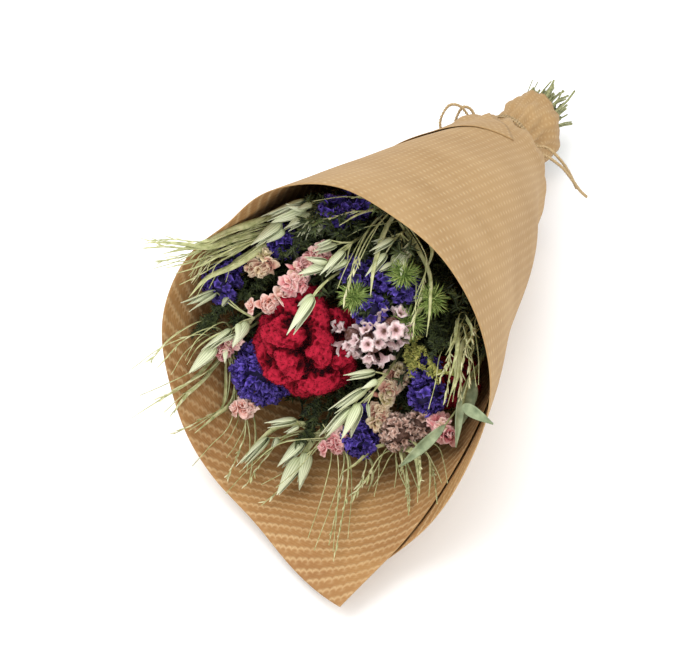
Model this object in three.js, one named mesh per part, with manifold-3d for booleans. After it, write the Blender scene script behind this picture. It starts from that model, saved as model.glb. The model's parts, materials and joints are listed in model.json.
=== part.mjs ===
// A mixed dried-flower bouquet, lying on its side in a cone of kraft paper tied with twine.
// Millimetres, +Z up. The flowers look along -Y and the cut stems point along +Y.
//
// Everything is built in the bouquet's own frame and then laid down: x runs across, y up from the
// paper's axis, z along the axis from the tie (z = 0) towards the flowers. Angles round the axis
// start at the bottom and grow towards -X.
import * as THREE from 'three';
import * as BufferGeometryUtils from 'three/addons/utils/BufferGeometryUtils.js';
import Module from 'manifold-3d';

const wasm = await Module();
wasm.setup();

// ---------------------------------------------------------------- driving dimensions

const SHEET_WIDTH = 500; // the paper's side along the cone
const SHEET_LENGTH = 750; // the paper's side round the cone
const CONE_SLOPE = 0.16; // radius gained per mm of axis
const APEX_TO_NECK = 265; // from the cone's virtual apex to the tie
const NECK_TO_RIM = 405; // along the paper, where the rim is nearest
const TIP_TO_NEAREST = 400; // along the rim, from the sheet's tip corner to that nearest place
const SEAM_TURN = 163.4; // degrees, where the rim is nearest to the tie
const PAPER_THICK = 0.8;
const LAYER_PITCH = 2.0; // radius gained by each further turn of paper
const FLOOR_PRESS = 3.0; // how far the lowest line of the cone is pressed flat
const FLOOR_TURN = 330; // the turn from which the paper lies on the floor itself
const FLAP_LIFT = 5.0; // how far the paper's outer end springs off
const FLAP_REACH = 60; // over this length of paper
const FLAP_HELD = 70; // and not at all up to here along the axis, where the tie holds it
const FLAP_FREE = 190; // the full lift beyond here
const COLUMN_STEP = 12; // degrees between the paper's facets
const PLEAT_DEPTH = 2.2; // half the depth of a pleat at the tie

const NECK_SHIFT = { x: -5, y: 8 }; // the tie and sleeve stand off the cone's axis
const TIE_TILT = 16; // the tie lies this much nearer the flowers on its right than in its middle
const SHIFT_FROM = 40; // full shift up to here
const SHIFT_TO = 110; // and none beyond here

// The gathered end of the paper: distance along the axis, mean radius, share of the pleat depth.
const GATHER = [
  [-60, 27.0, 0.3],
  [-35, 28.0, 0.4],
  [-2, 24.5, 1.0],
  [20, 20.4, 1.4],
  [38, 28.2, 1.6],
  [56, 41.6, 1.3],
  [72, 51.0, 0.6],
  [95, 57.6, 0.0],
];
const CONE_ROWS = [220, 340, 405, 455, 515]; // further rows on the plain cone

// Where the cone is pushed out or in: turn, distance along the axis, radius gained, and how far the
// push spreads round the cone (degrees) and along it.
const PUSHES = [
  [8, 463, -15, 29, 46],
  [88, 410, 5.5, 24, 90],
  [134, 403, -5.5, 14, 90],
  [172, 400, 3, 20, 90],
  [256, 420, 3.5, 25, 90],
  [275, 118, -7, 45, 42],
  [285, -38, 4.5, 60, 26],
];

const TWINE_DIAMETER = 2.6;
const STEM_END = -104; // mean place of the cut ends
const STEM_END_SPREAD = 18;
const STEM_PACK = 60; // the stems run to a common point this far behind the axis zero
const STEM_GAP = 0.5; // gap between neighbouring stems at the tie
const CLEAR = 0.45; // gap kept between one flower's pieces and another's

const MIDDLE = { x: 4.422, y: -201.897 }; // middle of the finished bouquet's outline on the table

// ---------------------------------------------------------------- derived values

const RAD = Math.PI / 180;
const CONE_ANGLE = Math.atan(CONE_SLOPE);
const SIN_CONE = Math.sin(CONE_ANGLE);
const COS_CONE = Math.cos(CONE_ANGLE);
const NECK_RHO = APEX_TO_NECK / COS_CONE; // rho is the distance from the apex along the paper
const RIM_RHO = NECK_RHO + NECK_TO_RIM;
const SHEET = {
  left: -TIP_TO_NEAREST,
  right: SHEET_LENGTH - TIP_TO_NEAREST,
  low: RIM_RHO - SHEET_WIDTH,
  high: RIM_RHO,
};
const GATHER_END = GATHER[GATHER.length - 1][0];
const GATHER_RHO = (GATHER_END + APEX_TO_NECK) / COS_CONE;
const GATHER_PACK = (GATHER_END - GATHER[0][0]) / (GATHER_RHO - SHEET.low);
const AXIS_HEIGHT = APEX_TO_NECK * SIN_CONE - FLOOR_PRESS;

// ---------------------------------------------------------------- small helpers

const add = (a, b) => [a[0] + b[0], a[1] + b[1], a[2] + b[2]];
const sub = (a, b) => [a[0] - b[0], a[1] - b[1], a[2] - b[2]];
const mul = (a, k) => [a[0] * k, a[1] * k, a[2] * k];
const dot = (a, b) => a[0] * b[0] + a[1] * b[1] + a[2] * b[2];
const cross = (a, b) => [
  a[1] * b[2] - a[2] * b[1],
  a[2] * b[0] - a[0] * b[2],
  a[0] * b[1] - a[1] * b[0],
];
const unit = (a) => mul(a, 1 / Math.sqrt(dot(a, a)));
const mix = (a, b, t) => add(mul(a, 1 - t), mul(b, t));

// Two directions square to d.
function sides(d) {
  const helper = Math.abs(d[1]) < 0.9 ? [0, 1, 0] : [1, 0, 0];
  const e1 = unit(cross(helper, d));
  return [e1, cross(d, e1)];
}

// A direction leaning from d by `lean` radians, towards `turn` radians round it.
function leaning(d, lean, turn) {
  const [e1, e2] = sides(d);
  const out = add(mul(e1, Math.cos(turn)), mul(e2, Math.sin(turn)));
  return unit(add(mul(d, Math.cos(lean)), mul(out, Math.sin(lean))));
}

// Seeded random numbers from 0 to 1.
function draws(seed) {
  let state = seed >>> 0;
  return () => {
    state = (Math.imul(state, 1664525) + 1013904223) >>> 0;
    return state / 4294967296;
  };
}

const smooth = (t) => {
  const c = Math.min(1, Math.max(0, t));
  return c * c * (3 - 2 * c);
};

function geometryOf(points, faces) {
  const geometry = new THREE.BufferGeometry();
  geometry.setAttribute('position', new THREE.Float32BufferAttribute(points.flat(), 3));
  geometry.setIndex(faces.flat());
  return geometry;
}

function solidOf(geometry) {
  const bare = geometry.clone();
  bare.deleteAttribute('normal');
  bare.deleteAttribute('uv');
  const merged = BufferGeometryUtils.mergeVertices(bare, 1e-5);
  const mesh = new wasm.Mesh({
    numProp: 3,
    vertProperties: Float32Array.from(merged.attributes.position.array),
    triVerts: Uint32Array.from(merged.index.array),
  });
  return new wasm.Manifold(mesh);
}

function geometryFrom(solid) {
  const mesh = solid.getMesh();
  const geometry = new THREE.BufferGeometry();
  geometry.setAttribute('position', new THREE.BufferAttribute(mesh.vertProperties, 3));
  geometry.setIndex(new THREE.BufferAttribute(mesh.triVerts, 1));
  return geometry;
}

// One body from many overlapping solids: what stays loose is dropped.
function fused(geometries) {
  const whole = wasm.Manifold.union(geometries.map(solidOf));
  const bodies = whole.decompose();
  bodies.sort((a, b) => b.volume() - a.volume());
  return geometryFrom(bodies[0]);
}

// ---------------------------------------------------------------- the paper's surface

// Values of the gather table at a place along the axis: [mean radius, pleat share].
function gatherAt(z) {
  if (z >= GATHER_END) {
    return [CONE_SLOPE * (APEX_TO_NECK + z), 0];
  }
  let k = 1;
  while (z > GATHER[k][0]) {
    k += 1;
  }
  const [z0, r0, p0] = GATHER[k - 1];
  const [z1, r1, p1] = GATHER[k];
  const t = (z - z0) / (z1 - z0);
  return [r0 + (r1 - r0) * t, p0 + (p1 - p0) * t];
}

function axisAt(z) {
  const share = 1 - smooth((z - SHIFT_FROM) / (SHIFT_TO - SHIFT_FROM));
  return [NECK_SHIFT.x * share, NECK_SHIFT.y * share];
}

// How much of the tie's tilt is left at a place along the axis.
const tiltAt = (z) => TIE_TILT * smooth((GATHER_END - z) / 60) * smooth((z + 100) / 60);

const alongAxis = (rho) =>
  rho >= GATHER_RHO
    ? rho * COS_CONE - APEX_TO_NECK
    : GATHER_END - (GATHER_RHO - rho) * GATHER_PACK;

const alongPaper = (z) =>
  z >= GATHER_END
    ? (z + APEX_TO_NECK) / COS_CONE
    : GATHER_RHO - (GATHER_END - z) / GATHER_PACK;

// Pleats: every other facet line is pressed in.
function pleat(turn) {
  const phase = Math.abs(turn / COLUMN_STEP) % 2;
  return 1 - 2 * (phase > 1 ? 2 - phase : phase);
}

const floorAt = (z, height) => (height - AXIS_HEIGHT - z * SIN_CONE) / COS_CONE;

// Radius that the paper gains where it is pushed out or in.
function pushAt(turn, z) {
  return PUSHES.reduce((sum, [turn0, z0, gain, wide, long]) => {
    const away = ((((turn - turn0 + 180) % 360) + 360) % 360) - 180;
    return sum + gain * Math.exp(-((away / wide) ** 2) - ((z - z0) / long) ** 2);
  }, 0);
}

// A point of the paper from its place (x, y) on the flat sheet; depth 0 is the outer face.
function paperPoint([x, y], depth) {
  const rho = Math.hypot(x, y);
  const turn = SEAM_TURN + Math.atan2(x, y) / SIN_CONE / RAD;
  const z = alongAxis(rho);
  const [mean, share] = gatherAt(z);
  const free = smooth((z - FLAP_HELD) / (FLAP_FREE - FLAP_HELD));
  const flap = FLAP_LIFT * free * smooth(1 - (SHEET.right - x) / FLAP_REACH);
  const layer = (LAYER_PITCH * (turn - 360)) / 360;
  const pushed = mean + pushAt(turn, z) + share * PLEAT_DEPTH * pleat(turn);
  const radius = pushed + layer + flap - depth;
  const [cx, cy] = axisAt(z);
  const height = (LAYER_PITCH * Math.max(0, FLOOR_TURN - turn)) / 360 + depth;
  const px = cx - radius * Math.sin(turn * RAD);
  const py = cy - radius * Math.cos(turn * RAD);
  const tilted = z - tiltAt(z) * Math.sin(turn * RAD);
  return [px, Math.max(py, floorAt(tilted, height)), tilted];
}

// Cuts a polygon of the flat sheet by one of its straight edges.
function clipped(polygon, axis, limit, sign) {
  const result = [];
  const inside = (p) => sign * (limit - p[axis]) >= 0;
  polygon.forEach((p, i) => {
    const q = polygon[(i + 1) % polygon.length];
    if (inside(p)) {
      result.push(p);
    }
    if (inside(p) !== inside(q)) {
      const t = (limit - p[axis]) / (q[axis] - p[axis]);
      result.push([p[0] + (q[0] - p[0]) * t, p[1] + (q[1] - p[1]) * t]);
    }
  });
  return result;
}

// The flat sheet cut into facets along the cone's lines: its corner points and its triangles.
function sheetFacets() {
  const rows = [...GATHER.map((row) => row[0]), ...CONE_ROWS].map(alongPaper);
  rows[0] -= 1;
  const lowest = Math.atan2(SHEET.left, SHEET.low) / SIN_CONE / RAD + SEAM_TURN;
  const highest = Math.atan2(SHEET.right, SHEET.low) / SIN_CONE / RAD + SEAM_TURN;
  const first = Math.floor(lowest / COLUMN_STEP);
  const last = Math.ceil(highest / COLUMN_STEP);
  const points = [];
  const triangles = [];
  const known = new Map();
  const indexOf = (p) => {
    const key = `${Math.round(p[0] * 200)},${Math.round(p[1] * 200)}`;
    if (!known.has(key)) {
      known.set(key, points.length);
      points.push(p);
    }
    return known.get(key);
  };
  const corner = (column, row) => {
    const angle = (column * COLUMN_STEP - SEAM_TURN) * RAD * SIN_CONE;
    return [rows[row] * Math.sin(angle), rows[row] * Math.cos(angle)];
  };
  for (let i = first; i < last; i += 1) {
    for (let j = 0; j < rows.length - 1; j += 1) {
      let cell = [corner(i, j), corner(i + 1, j), corner(i + 1, j + 1), corner(i, j + 1)];
      cell = clipped(cell, 0, SHEET.right, 1);
      cell = clipped(cell, 0, SHEET.left, -1);
      cell = clipped(cell, 1, SHEET.high, 1);
      cell = clipped(cell, 1, SHEET.low, -1);
      const ring = cell.map(indexOf).filter((v, k, all) => v !== all[(k + 1) % all.length]);
      for (let k = 1; k + 1 < ring.length; k += 1) {
        triangles.push([ring[0], ring[k], ring[k + 1]]);
      }
    }
  }
  return { points, triangles };
}

function kraftWrap() {
  const { points, triangles } = sheetFacets();
  const count = points.length;
  const outer = points.map((p) => paperPoint(p, 0));
  const inner = points.map((p) => paperPoint(p, PAPER_THICK));
  const faces = [];
  const edges = new Set(triangles.flatMap(([a, b, c]) => [`${a}_${b}`, `${b}_${c}`, `${c}_${a}`]));
  triangles.forEach(([a, b, c]) => {
    faces.push([a, c, b], [a + count, b + count, c + count]);
    [[a, b], [b, c], [c, a]].forEach(([p, q]) => {
      if (!edges.has(`${q}_${p}`)) {
        faces.push([p, q, p + count], [q, q + count, p + count]);
      }
    });
  });
  return geometryOf([...outer, ...inner], faces);
}

// ---------------------------------------------------------------- room for the flowers

const CLEAR_OF_PAPER = 1.6;
const RIM_MARGIN = 4; // the paper is taken to reach this much past its edges
const INNER_TURNS = 516 / 360; // turns of paper inside the outermost one
const PAPER_DEPTH = LAYER_PITCH * INNER_TURNS + PAPER_THICK;

// True where a ball of this radius would touch the paper.
function touchesPaper(p, radius) {
  const [cx, cy] = axisAt(p[2]);
  const turn = Math.atan2(cx - p[0], cy - p[1]) / RAD;
  const z = p[2] + tiltAt(p[2]) * Math.sin(turn * RAD);
  const rho = alongPaper(z);
  const covered = [-360, 0, 360].some((whole) => {
    const angle = (turn + whole - SEAM_TURN) * RAD * SIN_CONE;
    const x = rho * Math.sin(angle);
    const y = rho * Math.cos(angle);
    return (
      x > SHEET.left - RIM_MARGIN &&
      x < SHEET.right + RIM_MARGIN &&
      y > SHEET.low - RIM_MARGIN &&
      y < SHEET.high + RIM_MARGIN
    );
  });
  if (!covered) {
    return p[1] - radius < floorAt(p[2], 1);
  }
  const [mean, share] = gatherAt(z);
  const room = mean + pushAt(turn, z) - share * PLEAT_DEPTH - PAPER_DEPTH - CLEAR_OF_PAPER;
  const low = p[1] - radius < floorAt(p[2], PAPER_DEPTH + CLEAR_OF_PAPER);
  return low || Math.hypot(p[0] - cx, p[1] - cy) + radius > room;
}

// Distance between two straight pieces a0-a1 and b0-b1.
function between(a0, a1, b0, b1) {
  const u = sub(a1, a0);
  const v = sub(b1, b0);
  const w = sub(a0, b0);
  const uu = dot(u, u) + 1e-9;
  const vv = dot(v, v) + 1e-9;
  const uv = dot(u, v);
  const uw = dot(u, w);
  const vw = dot(v, w);
  const clamp = (t) => Math.min(1, Math.max(0, t));
  let s = clamp((uv * vw - vv * uw) / (uu * vv - uv * uv + 1e-9));
  const t = clamp((uv * s + vw) / vv);
  s = clamp((uv * t - uw) / uu);
  const d = sub(add(a0, mul(u, s)), add(b0, mul(v, t)));
  return Math.sqrt(dot(d, d));
}

const taken = []; // every straight piece placed so far: its ends, radius and owner

// True where a round-ended piece a-b has room; `reach` is the radius that stays clear of the paper.
function isFree(a, b, radius, owner, reach = radius) {
  for (const share of [0, 0.25, 0.5, 0.75, 1]) {
    if (touchesPaper(mix(a, b, share), reach)) {
      return false;
    }
  }
  return taken.every((piece) => {
    if (piece.owner === owner) {
      return true;
    }
    return between(a, b, piece.a, piece.b) > radius + piece.radius + CLEAR;
  });
}

function claim(a, b, radius, owner) {
  taken.push({ a, b, radius, owner });
}

// ---------------------------------------------------------------- simple plant solids

// A tapering stalk through the given points.
function stalk(points, r0, r1, count) {
  const rings = points.map((p, i) => {
    const before = points[Math.max(0, i - 1)];
    const after = points[Math.min(points.length - 1, i + 1)];
    const [e1, e2] = sides(unit(sub(after, before)));
    const r = r0 + ((r1 - r0) * i) / (points.length - 1);
    return Array.from({ length: count }, (_, k) => {
      const angle = (2 * Math.PI * k) / count;
      return add(p, add(mul(e1, r * Math.cos(angle)), mul(e2, r * Math.sin(angle))));
    });
  });
  const faces = [];
  for (let i = 0; i + 1 < rings.length; i += 1) {
    for (let k = 0; k < count; k += 1) {
      const a = i * count + k;
      const b = i * count + ((k + 1) % count);
      faces.push([a, b, b + count], [a, b + count, a + count]);
    }
  }
  const top = (rings.length - 1) * count;
  for (let k = 1; k + 1 < count; k += 1) {
    faces.push([0, k + 1, k], [top, top + k, top + k + 1]);
  }
  return geometryOf(rings.flat(), faces);
}

// A blade with a pointed base and tip and its widest place part of the way up.
function blade({ at, dir, side, length, width, thick, belly }) {
  const normal = cross(dir, side);
  const mid = add(at, mul(dir, length * belly));
  const points = [
    at,
    add(mid, mul(side, width / 2)),
    add(mid, mul(normal, thick / 2)),
    add(mid, mul(side, -width / 2)),
    add(mid, mul(normal, -thick / 2)),
    add(at, mul(dir, length)),
  ];
  const faces = [];
  for (let k = 0; k < 4; k += 1) {
    const a = 1 + k;
    const b = 1 + ((k + 1) % 4);
    faces.push([0, b, a], [5, a, b]);
  }
  return geometryOf(points, faces);
}

// An oat husk: a pointed base, a belly a third of the way up and two tips that stand apart.
function husk({ at, dir, side, length }) {
  const normal = cross(dir, side);
  const mid = add(at, mul(dir, length * 0.36));
  const notch = add(at, mul(dir, length * 0.62));
  const points = [
    at,
    add(mid, mul(side, length * 0.15)),
    add(mid, mul(normal, length * 0.11)),
    add(mid, mul(side, -length * 0.15)),
    add(mid, mul(normal, -length * 0.11)),
    add(notch, mul(side, length * 0.09)),
    add(notch, mul(side, -length * 0.09)),
    add(add(at, mul(dir, length)), mul(normal, length * 0.13)),
    add(add(at, mul(dir, length * 0.94)), mul(normal, -length * 0.13)),
  ];
  const faces = [
    [0, 2, 1], [0, 3, 2], [0, 4, 3], [0, 1, 4],
    [1, 2, 7], [7, 5, 1], [2, 3, 7], [7, 3, 6], [7, 6, 5],
    [3, 4, 8], [8, 6, 3], [4, 1, 8], [8, 1, 5], [8, 5, 6],
  ];
  return geometryOf(points, faces);
}

// A three-sided spine.
function spine({ at, dir, length, width }) {
  const [e1, e2] = sides(dir);
  const points = [0, 1, 2].map((k) => {
    const angle = (2 * Math.PI * k) / 3;
    const out = add(mul(e1, Math.cos(angle)), mul(e2, Math.sin(angle)));
    return add(at, mul(out, width / 2));
  });
  points.push(add(at, mul(dir, length)));
  return geometryOf(points, [[0, 2, 1], [0, 1, 3], [1, 2, 3], [2, 0, 3]]);
}

// An open floret: a pointed base, a frilled rim of `petals` petals and a sunk middle.
function floret({ at, dir, side, length, width, petals, notch }) {
  const other = cross(dir, side);
  const points = [at, add(at, mul(dir, length * 0.55))];
  const rim = petals * 2;
  for (let k = 0; k < rim; k += 1) {
    const angle = (2 * Math.PI * k) / rim;
    const out = add(mul(side, Math.cos(angle)), mul(other, Math.sin(angle)));
    const tip = k % 2 === 0;
    const reach = (width / 2) * (tip ? 1 : notch);
    points.push(add(at, add(mul(out, reach), mul(dir, length * (tip ? 1 : 0.8)))));
  }
  const faces = [];
  for (let k = 0; k < rim; k += 1) {
    const a = 2 + k;
    const b = 2 + ((k + 1) % rim);
    faces.push([0, b, a], [1, a, b]);
  }
  return geometryOf(points, faces);
}

// A rounded lump with three half-sizes along dir, side and their cross direction.
function lump({ at, dir, side, sizes }, detail) {
  const other = cross(dir, side);
  const ball = new THREE.IcosahedronGeometry(1, detail);
  const place = new THREE.Matrix4().makeBasis(
    new THREE.Vector3(...mul(side, sizes[1])),
    new THREE.Vector3(...mul(other, sizes[2])),
    new THREE.Vector3(...mul(dir, sizes[0])),
  );
  place.setPosition(...at);
  ball.applyMatrix4(place);
  return ball;
}

// ---------------------------------------------------------------- the flowers' places

// Cockscomb crests: middle, radius and number of lobes.
const COCKSCOMBS = [
  { name: 'cockscomb_1', at: [-22, -11, 380], radius: 36, lobes: 14, color: 0xa8152e },
  { name: 'cockscomb_2', at: [71, -23, 362], radius: 18, lobes: 8, color: 0x6e0f1e },
];

// Statice heads: the clusters of each head as [x, y, z, radius].
const PURPLE = 0x4a3aa0;
const STATICE = [
  { name: 'statice_pale', clusters: [[24, 6, 391, 10], [10, 6, 388, 8], [35, 18, 386, 9]], color: 0xdcbcc0 },
  { name: 'statice_dusty', clusters: [[48, -53, 391, 11], [60, -45, 385, 8]], color: 0xbd9a90 },
  { name: 'statice_mauve', clusters: [[-80, 35, 351, 10]], color: 0x9a7a80 },
  { name: 'statice_1', clusters: [[-53, -42, 384, 21]], color: PURPLE },
  { name: 'statice_2', clusters: [[-87, 13, 380, 11], [-88, 25, 371, 9]], color: PURPLE },
  { name: 'statice_3', clusters: [[-52, 46, 364, 10]], color: PURPLE },
  { name: 'statice_4', clusters: [[-20, 71, 358, 10], [-10, 76, 348, 9]], color: PURPLE },
  { name: 'statice_5', clusters: [[21, 44, 372, 8], [4, 42, 372, 9], [36, 41, 374, 9]], color: PURPLE },
  { name: 'statice_6', clusters: [[19, 24, 384, 9]], color: PURPLE },
  { name: 'statice_7', clusters: [[61, -26, 382, 11], [56, -13, 374, 8]], color: PURPLE },
  { name: 'statice_8', clusters: [[22, -65, 392, 11], [24, -54, 385, 9]], color: PURPLE },
];

// Larkspur spikes: the flowering part of each stem and its number of florets.
const LARKSPURS = [
  { name: 'larkspur_1', spike: [[-72, 28, 374], [-51, 38, 378]], florets: 4, color: 0xd9a090 },
  { name: 'larkspur_2', spike: [[-20, 52, 372], [-29, 40, 380], [-36, 28, 386]], florets: 7, color: 0xd97f86 },
  { name: 'larkspur_3', spike: [[-40, 21, 386], [-54, 11, 394]], florets: 3, color: 0xe8aa98 },
  { name: 'larkspur_4', spike: [[-57, -63, 392], [-60, -64, 400]], florets: 3, color: 0xe0a092 },
  { name: 'larkspur_5', spike: [[-71, -18, 386], [-83, -31, 392]], florets: 3, color: 0xd97f86 },
  { name: 'larkspur_6', spike: [[35, -22, 368], [34, -31, 380], [29, -53, 394]], florets: 7, color: 0xcf9684 },
  { name: 'larkspur_7', spike: [[12, -65, 392], [5, -74, 401]], florets: 3, color: 0xe09098 },
  { name: 'larkspur_8', spike: [[64, -45, 378], [74, -40, 390], [82, -45, 397]], florets: 4, color: 0xdc6f80 },
];

// Green bristly tufts: the middle of each.
const TUFTS = [
  { name: 'tuft_1', places: [[10, 34, 390]] },
  { name: 'tuft_2', places: [[37, 52, 379]] },
  { name: 'tuft_3', places: [[45, 22, 382], [57, 40, 380]] },
];

// Mossy sprigs: the arms of each as chains of points, the spines per arm and their length.
const SPRIGS = [
  {
    name: 'moss_1',
    arms: [[[-77, 2, 376], [-61, 20, 368]], [[-77, 2, 376], [-95, -13, 394]]],
    spines: 10,
    length: 7,
    color: 0x2f3a18,
  },
  { name: 'moss_2', arms: [[[-15, -53, 378], [-13, -76, 392]]], spines: 13, length: 7, color: 0x2f3a18 },
  { name: 'moss_3', arms: [[[52, 22, 368], [65, 7, 380]]], spines: 12, length: 7, color: 0x35401c },
  {
    name: 'goldenrod',
    arms: [[[39, 4, 372], [55, 4, 380], [69, -6, 386]], [[39, 4, 372], [50, -8, 384]]],
    spines: 10,
    length: 8,
    color: 0x8a9040,
  },
];

// Oats: where the spikelets' stalks part, then each spikelet's base and tip.
const OATS = [
  {
    name: 'oats_1',
    top: [-32, 71, 350],
    spikelets: [
      [[-38, 77, 362], [-60, 66, 379]],
      [[-38, 72, 362], [-55, 63, 376]],
      [[-33, 70, 364], [-45, 61, 377]],
      [[-31, 69, 366], [-33, 59, 380]],
      [[-39, 73, 354], [-56, 68, 366]],
      [[-29, 71, 362], [-24, 62, 376]],
      [[-51, 62, 370], [-63, 49, 386]],
    ],
  },
  { name: 'oats_2', top: [-5, 45, 398], spikelets: [[[-8, 39, 412], [-15, 19, 430]]] },
  {
    name: 'oats_3',
    top: [-1, 61, 372],
    spikelets: [
      [[-2, 59, 382], [-10, 46, 397]],
      [[-12, 49, 386], [-25, 43, 398]],
      [[-9, 60, 378], [-20, 56, 389]],
    ],
  },
  {
    name: 'oats_4',
    top: [27, 70, 362],
    spikelets: [
      [[23, 61, 376], [17, 49, 390]],
      [[25, 69, 370], [15, 62, 382]],
      [[36, 67, 366], [32, 60, 382]],
      [[33, 62, 372], [38, 52, 384]],
    ],
  },
  {
    name: 'oats_5',
    top: [-61, -3, 384],
    spikelets: [
      [[-73, -11, 392], [-87, -25, 405]],
      [[-82, -23, 397], [-93, -40, 412]],
      [[-62, -3, 391], [-66, -16, 405]],
      [[-88, 10, 386], [-100, 6, 408]],
    ],
  },
  {
    name: 'oats_6',
    top: [36, -13, 392],
    spikelets: [
      [[31, -9, 399], [16, -10, 413]],
      [[27, -21, 401], [9, -36, 415]],
      [[20, -35, 405], [5, -55, 417]],
      [[25, -30, 406], [21, -52, 417]],
    ],
  },
  {
    name: 'oats_7',
    top: [-18, -75, 386],
    spikelets: [
      [[-21, -61, 398], [-37, -62, 412]],
      [[-40, -80, 400], [-44, -84, 435]],
      [[-17, -78, 394], [-26, -92, 412]],
      [[-12, -84, 398], [-4, -92, 426]],
      [[-15, -86, 402], [-12, -90, 442]],
    ],
  },
];

// Thin grasses: where the strands part, then each strand's points.
const GRASSES = [
  {
    name: 'grass_1',
    top: [-60, 57, 362],
    strands: [
      [[-75, 57, 388], [-82, 57, 410], [-98, 61, 426], [-110, 61, 436]],
      [[-79, 52, 388], [-92, 47, 412], [-106, 45, 430]],
      [[-76, 44, 384], [-88, 38, 396], [-95, 25, 402]],
    ],
  },
  {
    name: 'grass_2',
    top: [-82, -34, 374],
    strands: [
      [[-86, -14, 390], [-98, -17, 410], [-102, -25, 436]],
      [[-74, -64, 396], [-79, -66, 422], [-85, -65, 446]],
      [[-84, -40, 400], [-92, -43, 424], [-98, -45, 440]],
      [[-58, -74, 398], [-51, -84, 422], [-46, -86, 447]],
    ],
  },
  {
    name: 'grass_3',
    top: [0, -72, 384],
    strands: [
      [[12, -78, 394], [19, -93, 412], [35, -96, 466]],
      [[-8, -83, 396], [-14, -94, 415], [-17, -92, 454]],
      [[-27, -77, 396], [-36, -88, 412], [-33, -88, 445]],
      [[26, -74, 394], [30, -86, 402], [30, -93, 420]],
    ],
  },
  {
    name: 'grass_4',
    top: [50, -66, 384],
    strands: [
      [[56, -72, 396], [64, -77, 410], [73, -76, 432]],
      [[68, -62, 392], [80, -62, 412], [96, -53, 452]],
      [[38, -72, 394], [34, -83, 404], [30, -92, 416]],
    ],
  },
  {
    name: 'grass_5',
    top: [75, 15, 356],
    strands: [
      [[80, 20, 378], [90, 14, 398], [96, 8, 414]],
      [[72, 12, 378], [78, 4, 396], [83, -6, 416]],
      [[76, 24, 372], [85, 24, 392], [89, 20, 410]],
    ],
  },
  {
    name: 'grass_6',
    top: [14, 77, 344],
    strands: [
      [[6, 78, 356], [-6, 78, 366], [-20, 72, 376]],
      [[44, 60, 366], [50, 46, 380], [51, 26, 394]],
      [[8, 66, 366], [9, 54, 392], [10, 40, 408]],
    ],
  },
];

// Broad leaves: base, tip and width of each, on one stem.
const LEAVES = {
  name: 'leaves',
  top: [87, -5, 362],
  blades: [
    [[87, -11, 374], [90, -30, 397], 11],
    [[84, -14, 386], [92, -38, 412], 6],
    [[82, -28, 406], [60, -58, 420], 8],
    [[98, 4, 430], [121, 6, 444], 8],
  ],
};

// Free twine ends: their routes from the knot.
const TAILS = [
  { name: 'twine_tail_1', route: [[23.2, 20.6, 34.9], [33, 20, 33], [43, 11, 28], [50, -1, 20], [54, -13, 11], [56, -21, 4]] },
  { name: 'twine_tail_2', route: [[22.9, 16.8, 37.9], [35, 15, 39], [48, 6, 34], [57, -7, 26], [62, -18, 16], [66, -26, 6]] },
];
const BOW = [
  [[-31, 12, 6], [-40, 24, 16], [-50, 36, 20], [-60, 36, 24], [-64, 22, 30], [-58, 10, 28], [-44, 8, 16], [-31, 10, 4]],
  [[-31, 12, 6], [-38, 24, 10], [-44, 33, 12], [-51, 33, 14], [-54, 20, 18], [-46, 12, 14], [-31, 10, 4]],
];
const KNOTS = [
  { turn: 246, z: 34.6 },
  { turn: 100, z: 4.2 },
];
const BAND_RADIUS = 26.8;
const BAND_TURNS = [-1.75, 1.75]; // two turns side by side, this far from the middle of the tie

// ---------------------------------------------------------------- stems

const TOWARDS_FLOWERS = [0, 0, 1];
const FACING = unit([0.32, 0.45, 0.83]); // the side that the open flowers turn to

const stemTop = (at, reach) => sub(at, [0, 0, reach]);
const HEAD_FOOT = 0.66; // a head's foot reaches this share of its radius down towards its stem
const FOOT_GAP = 0.4;

// Every stem's top and radius; `apart` where the stem is a piece of its own under the head.
const STEMMED = [
  ...COCKSCOMBS.map((s) => ({ name: s.name, top: stemTop(s.at, s.radius * HEAD_FOOT + FOOT_GAP), radius: 1.5, apart: true })),
  ...STATICE.map((s) => ({
    name: s.name,
    top: stemTop(s.clusters[0], s.clusters[0][3] * HEAD_FOOT + FOOT_GAP),
    radius: 1.4,
    apart: true,
  })),
  ...LARKSPURS.map((s) => ({ name: s.name, top: s.spike[0], radius: 1.4 })),
  ...TUFTS.map((s) => ({ name: s.name, top: s.places[0], radius: 1.3 })),
  ...SPRIGS.map((s) => ({ name: s.name, top: s.arms[0][0], radius: 1.3 })),
  ...OATS.map((s) => ({ name: s.name, top: s.top, radius: 1.3 })),
  ...GRASSES.map((s) => ({ name: s.name, top: s.top, radius: 1.2 })),
  { name: LEAVES.name, top: LEAVES.top, radius: 1.3 },
];

const TIE = 20;
const NECK_RADIUS = 20.4;
const STEM_LEVELS = [110, 240];
const END_FLARE = 1.65; // the bundle opens this much from the tie to the cut ends

// Pushes apart the stems' middles that leave less than `room` between two stems; a `pull` below 1
// first draws them all in.
function spread(points, room, rounds, pull) {
  for (let round = 0; round < rounds; round += 1) {
    points.forEach((p) => {
      p[0] *= pull;
      p[1] *= pull;
    });
    for (let i = 0; i < points.length; i += 1) {
      for (let j = i + 1; j < points.length; j += 1) {
        const dx = points[j][0] - points[i][0];
        const dy = points[j][1] - points[i][1];
        const gap = Math.hypot(dx, dy) + 1e-6;
        const spacing = STEMMED[i].radius + STEMMED[j].radius + room;
        if (gap < spacing) {
          const push = (spacing - gap) / 2 / gap;
          points[i][0] -= dx * push;
          points[i][1] -= dy * push;
          points[j][0] += dx * push;
          points[j][1] += dy * push;
        }
      }
    }
  }
  return points;
}

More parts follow.
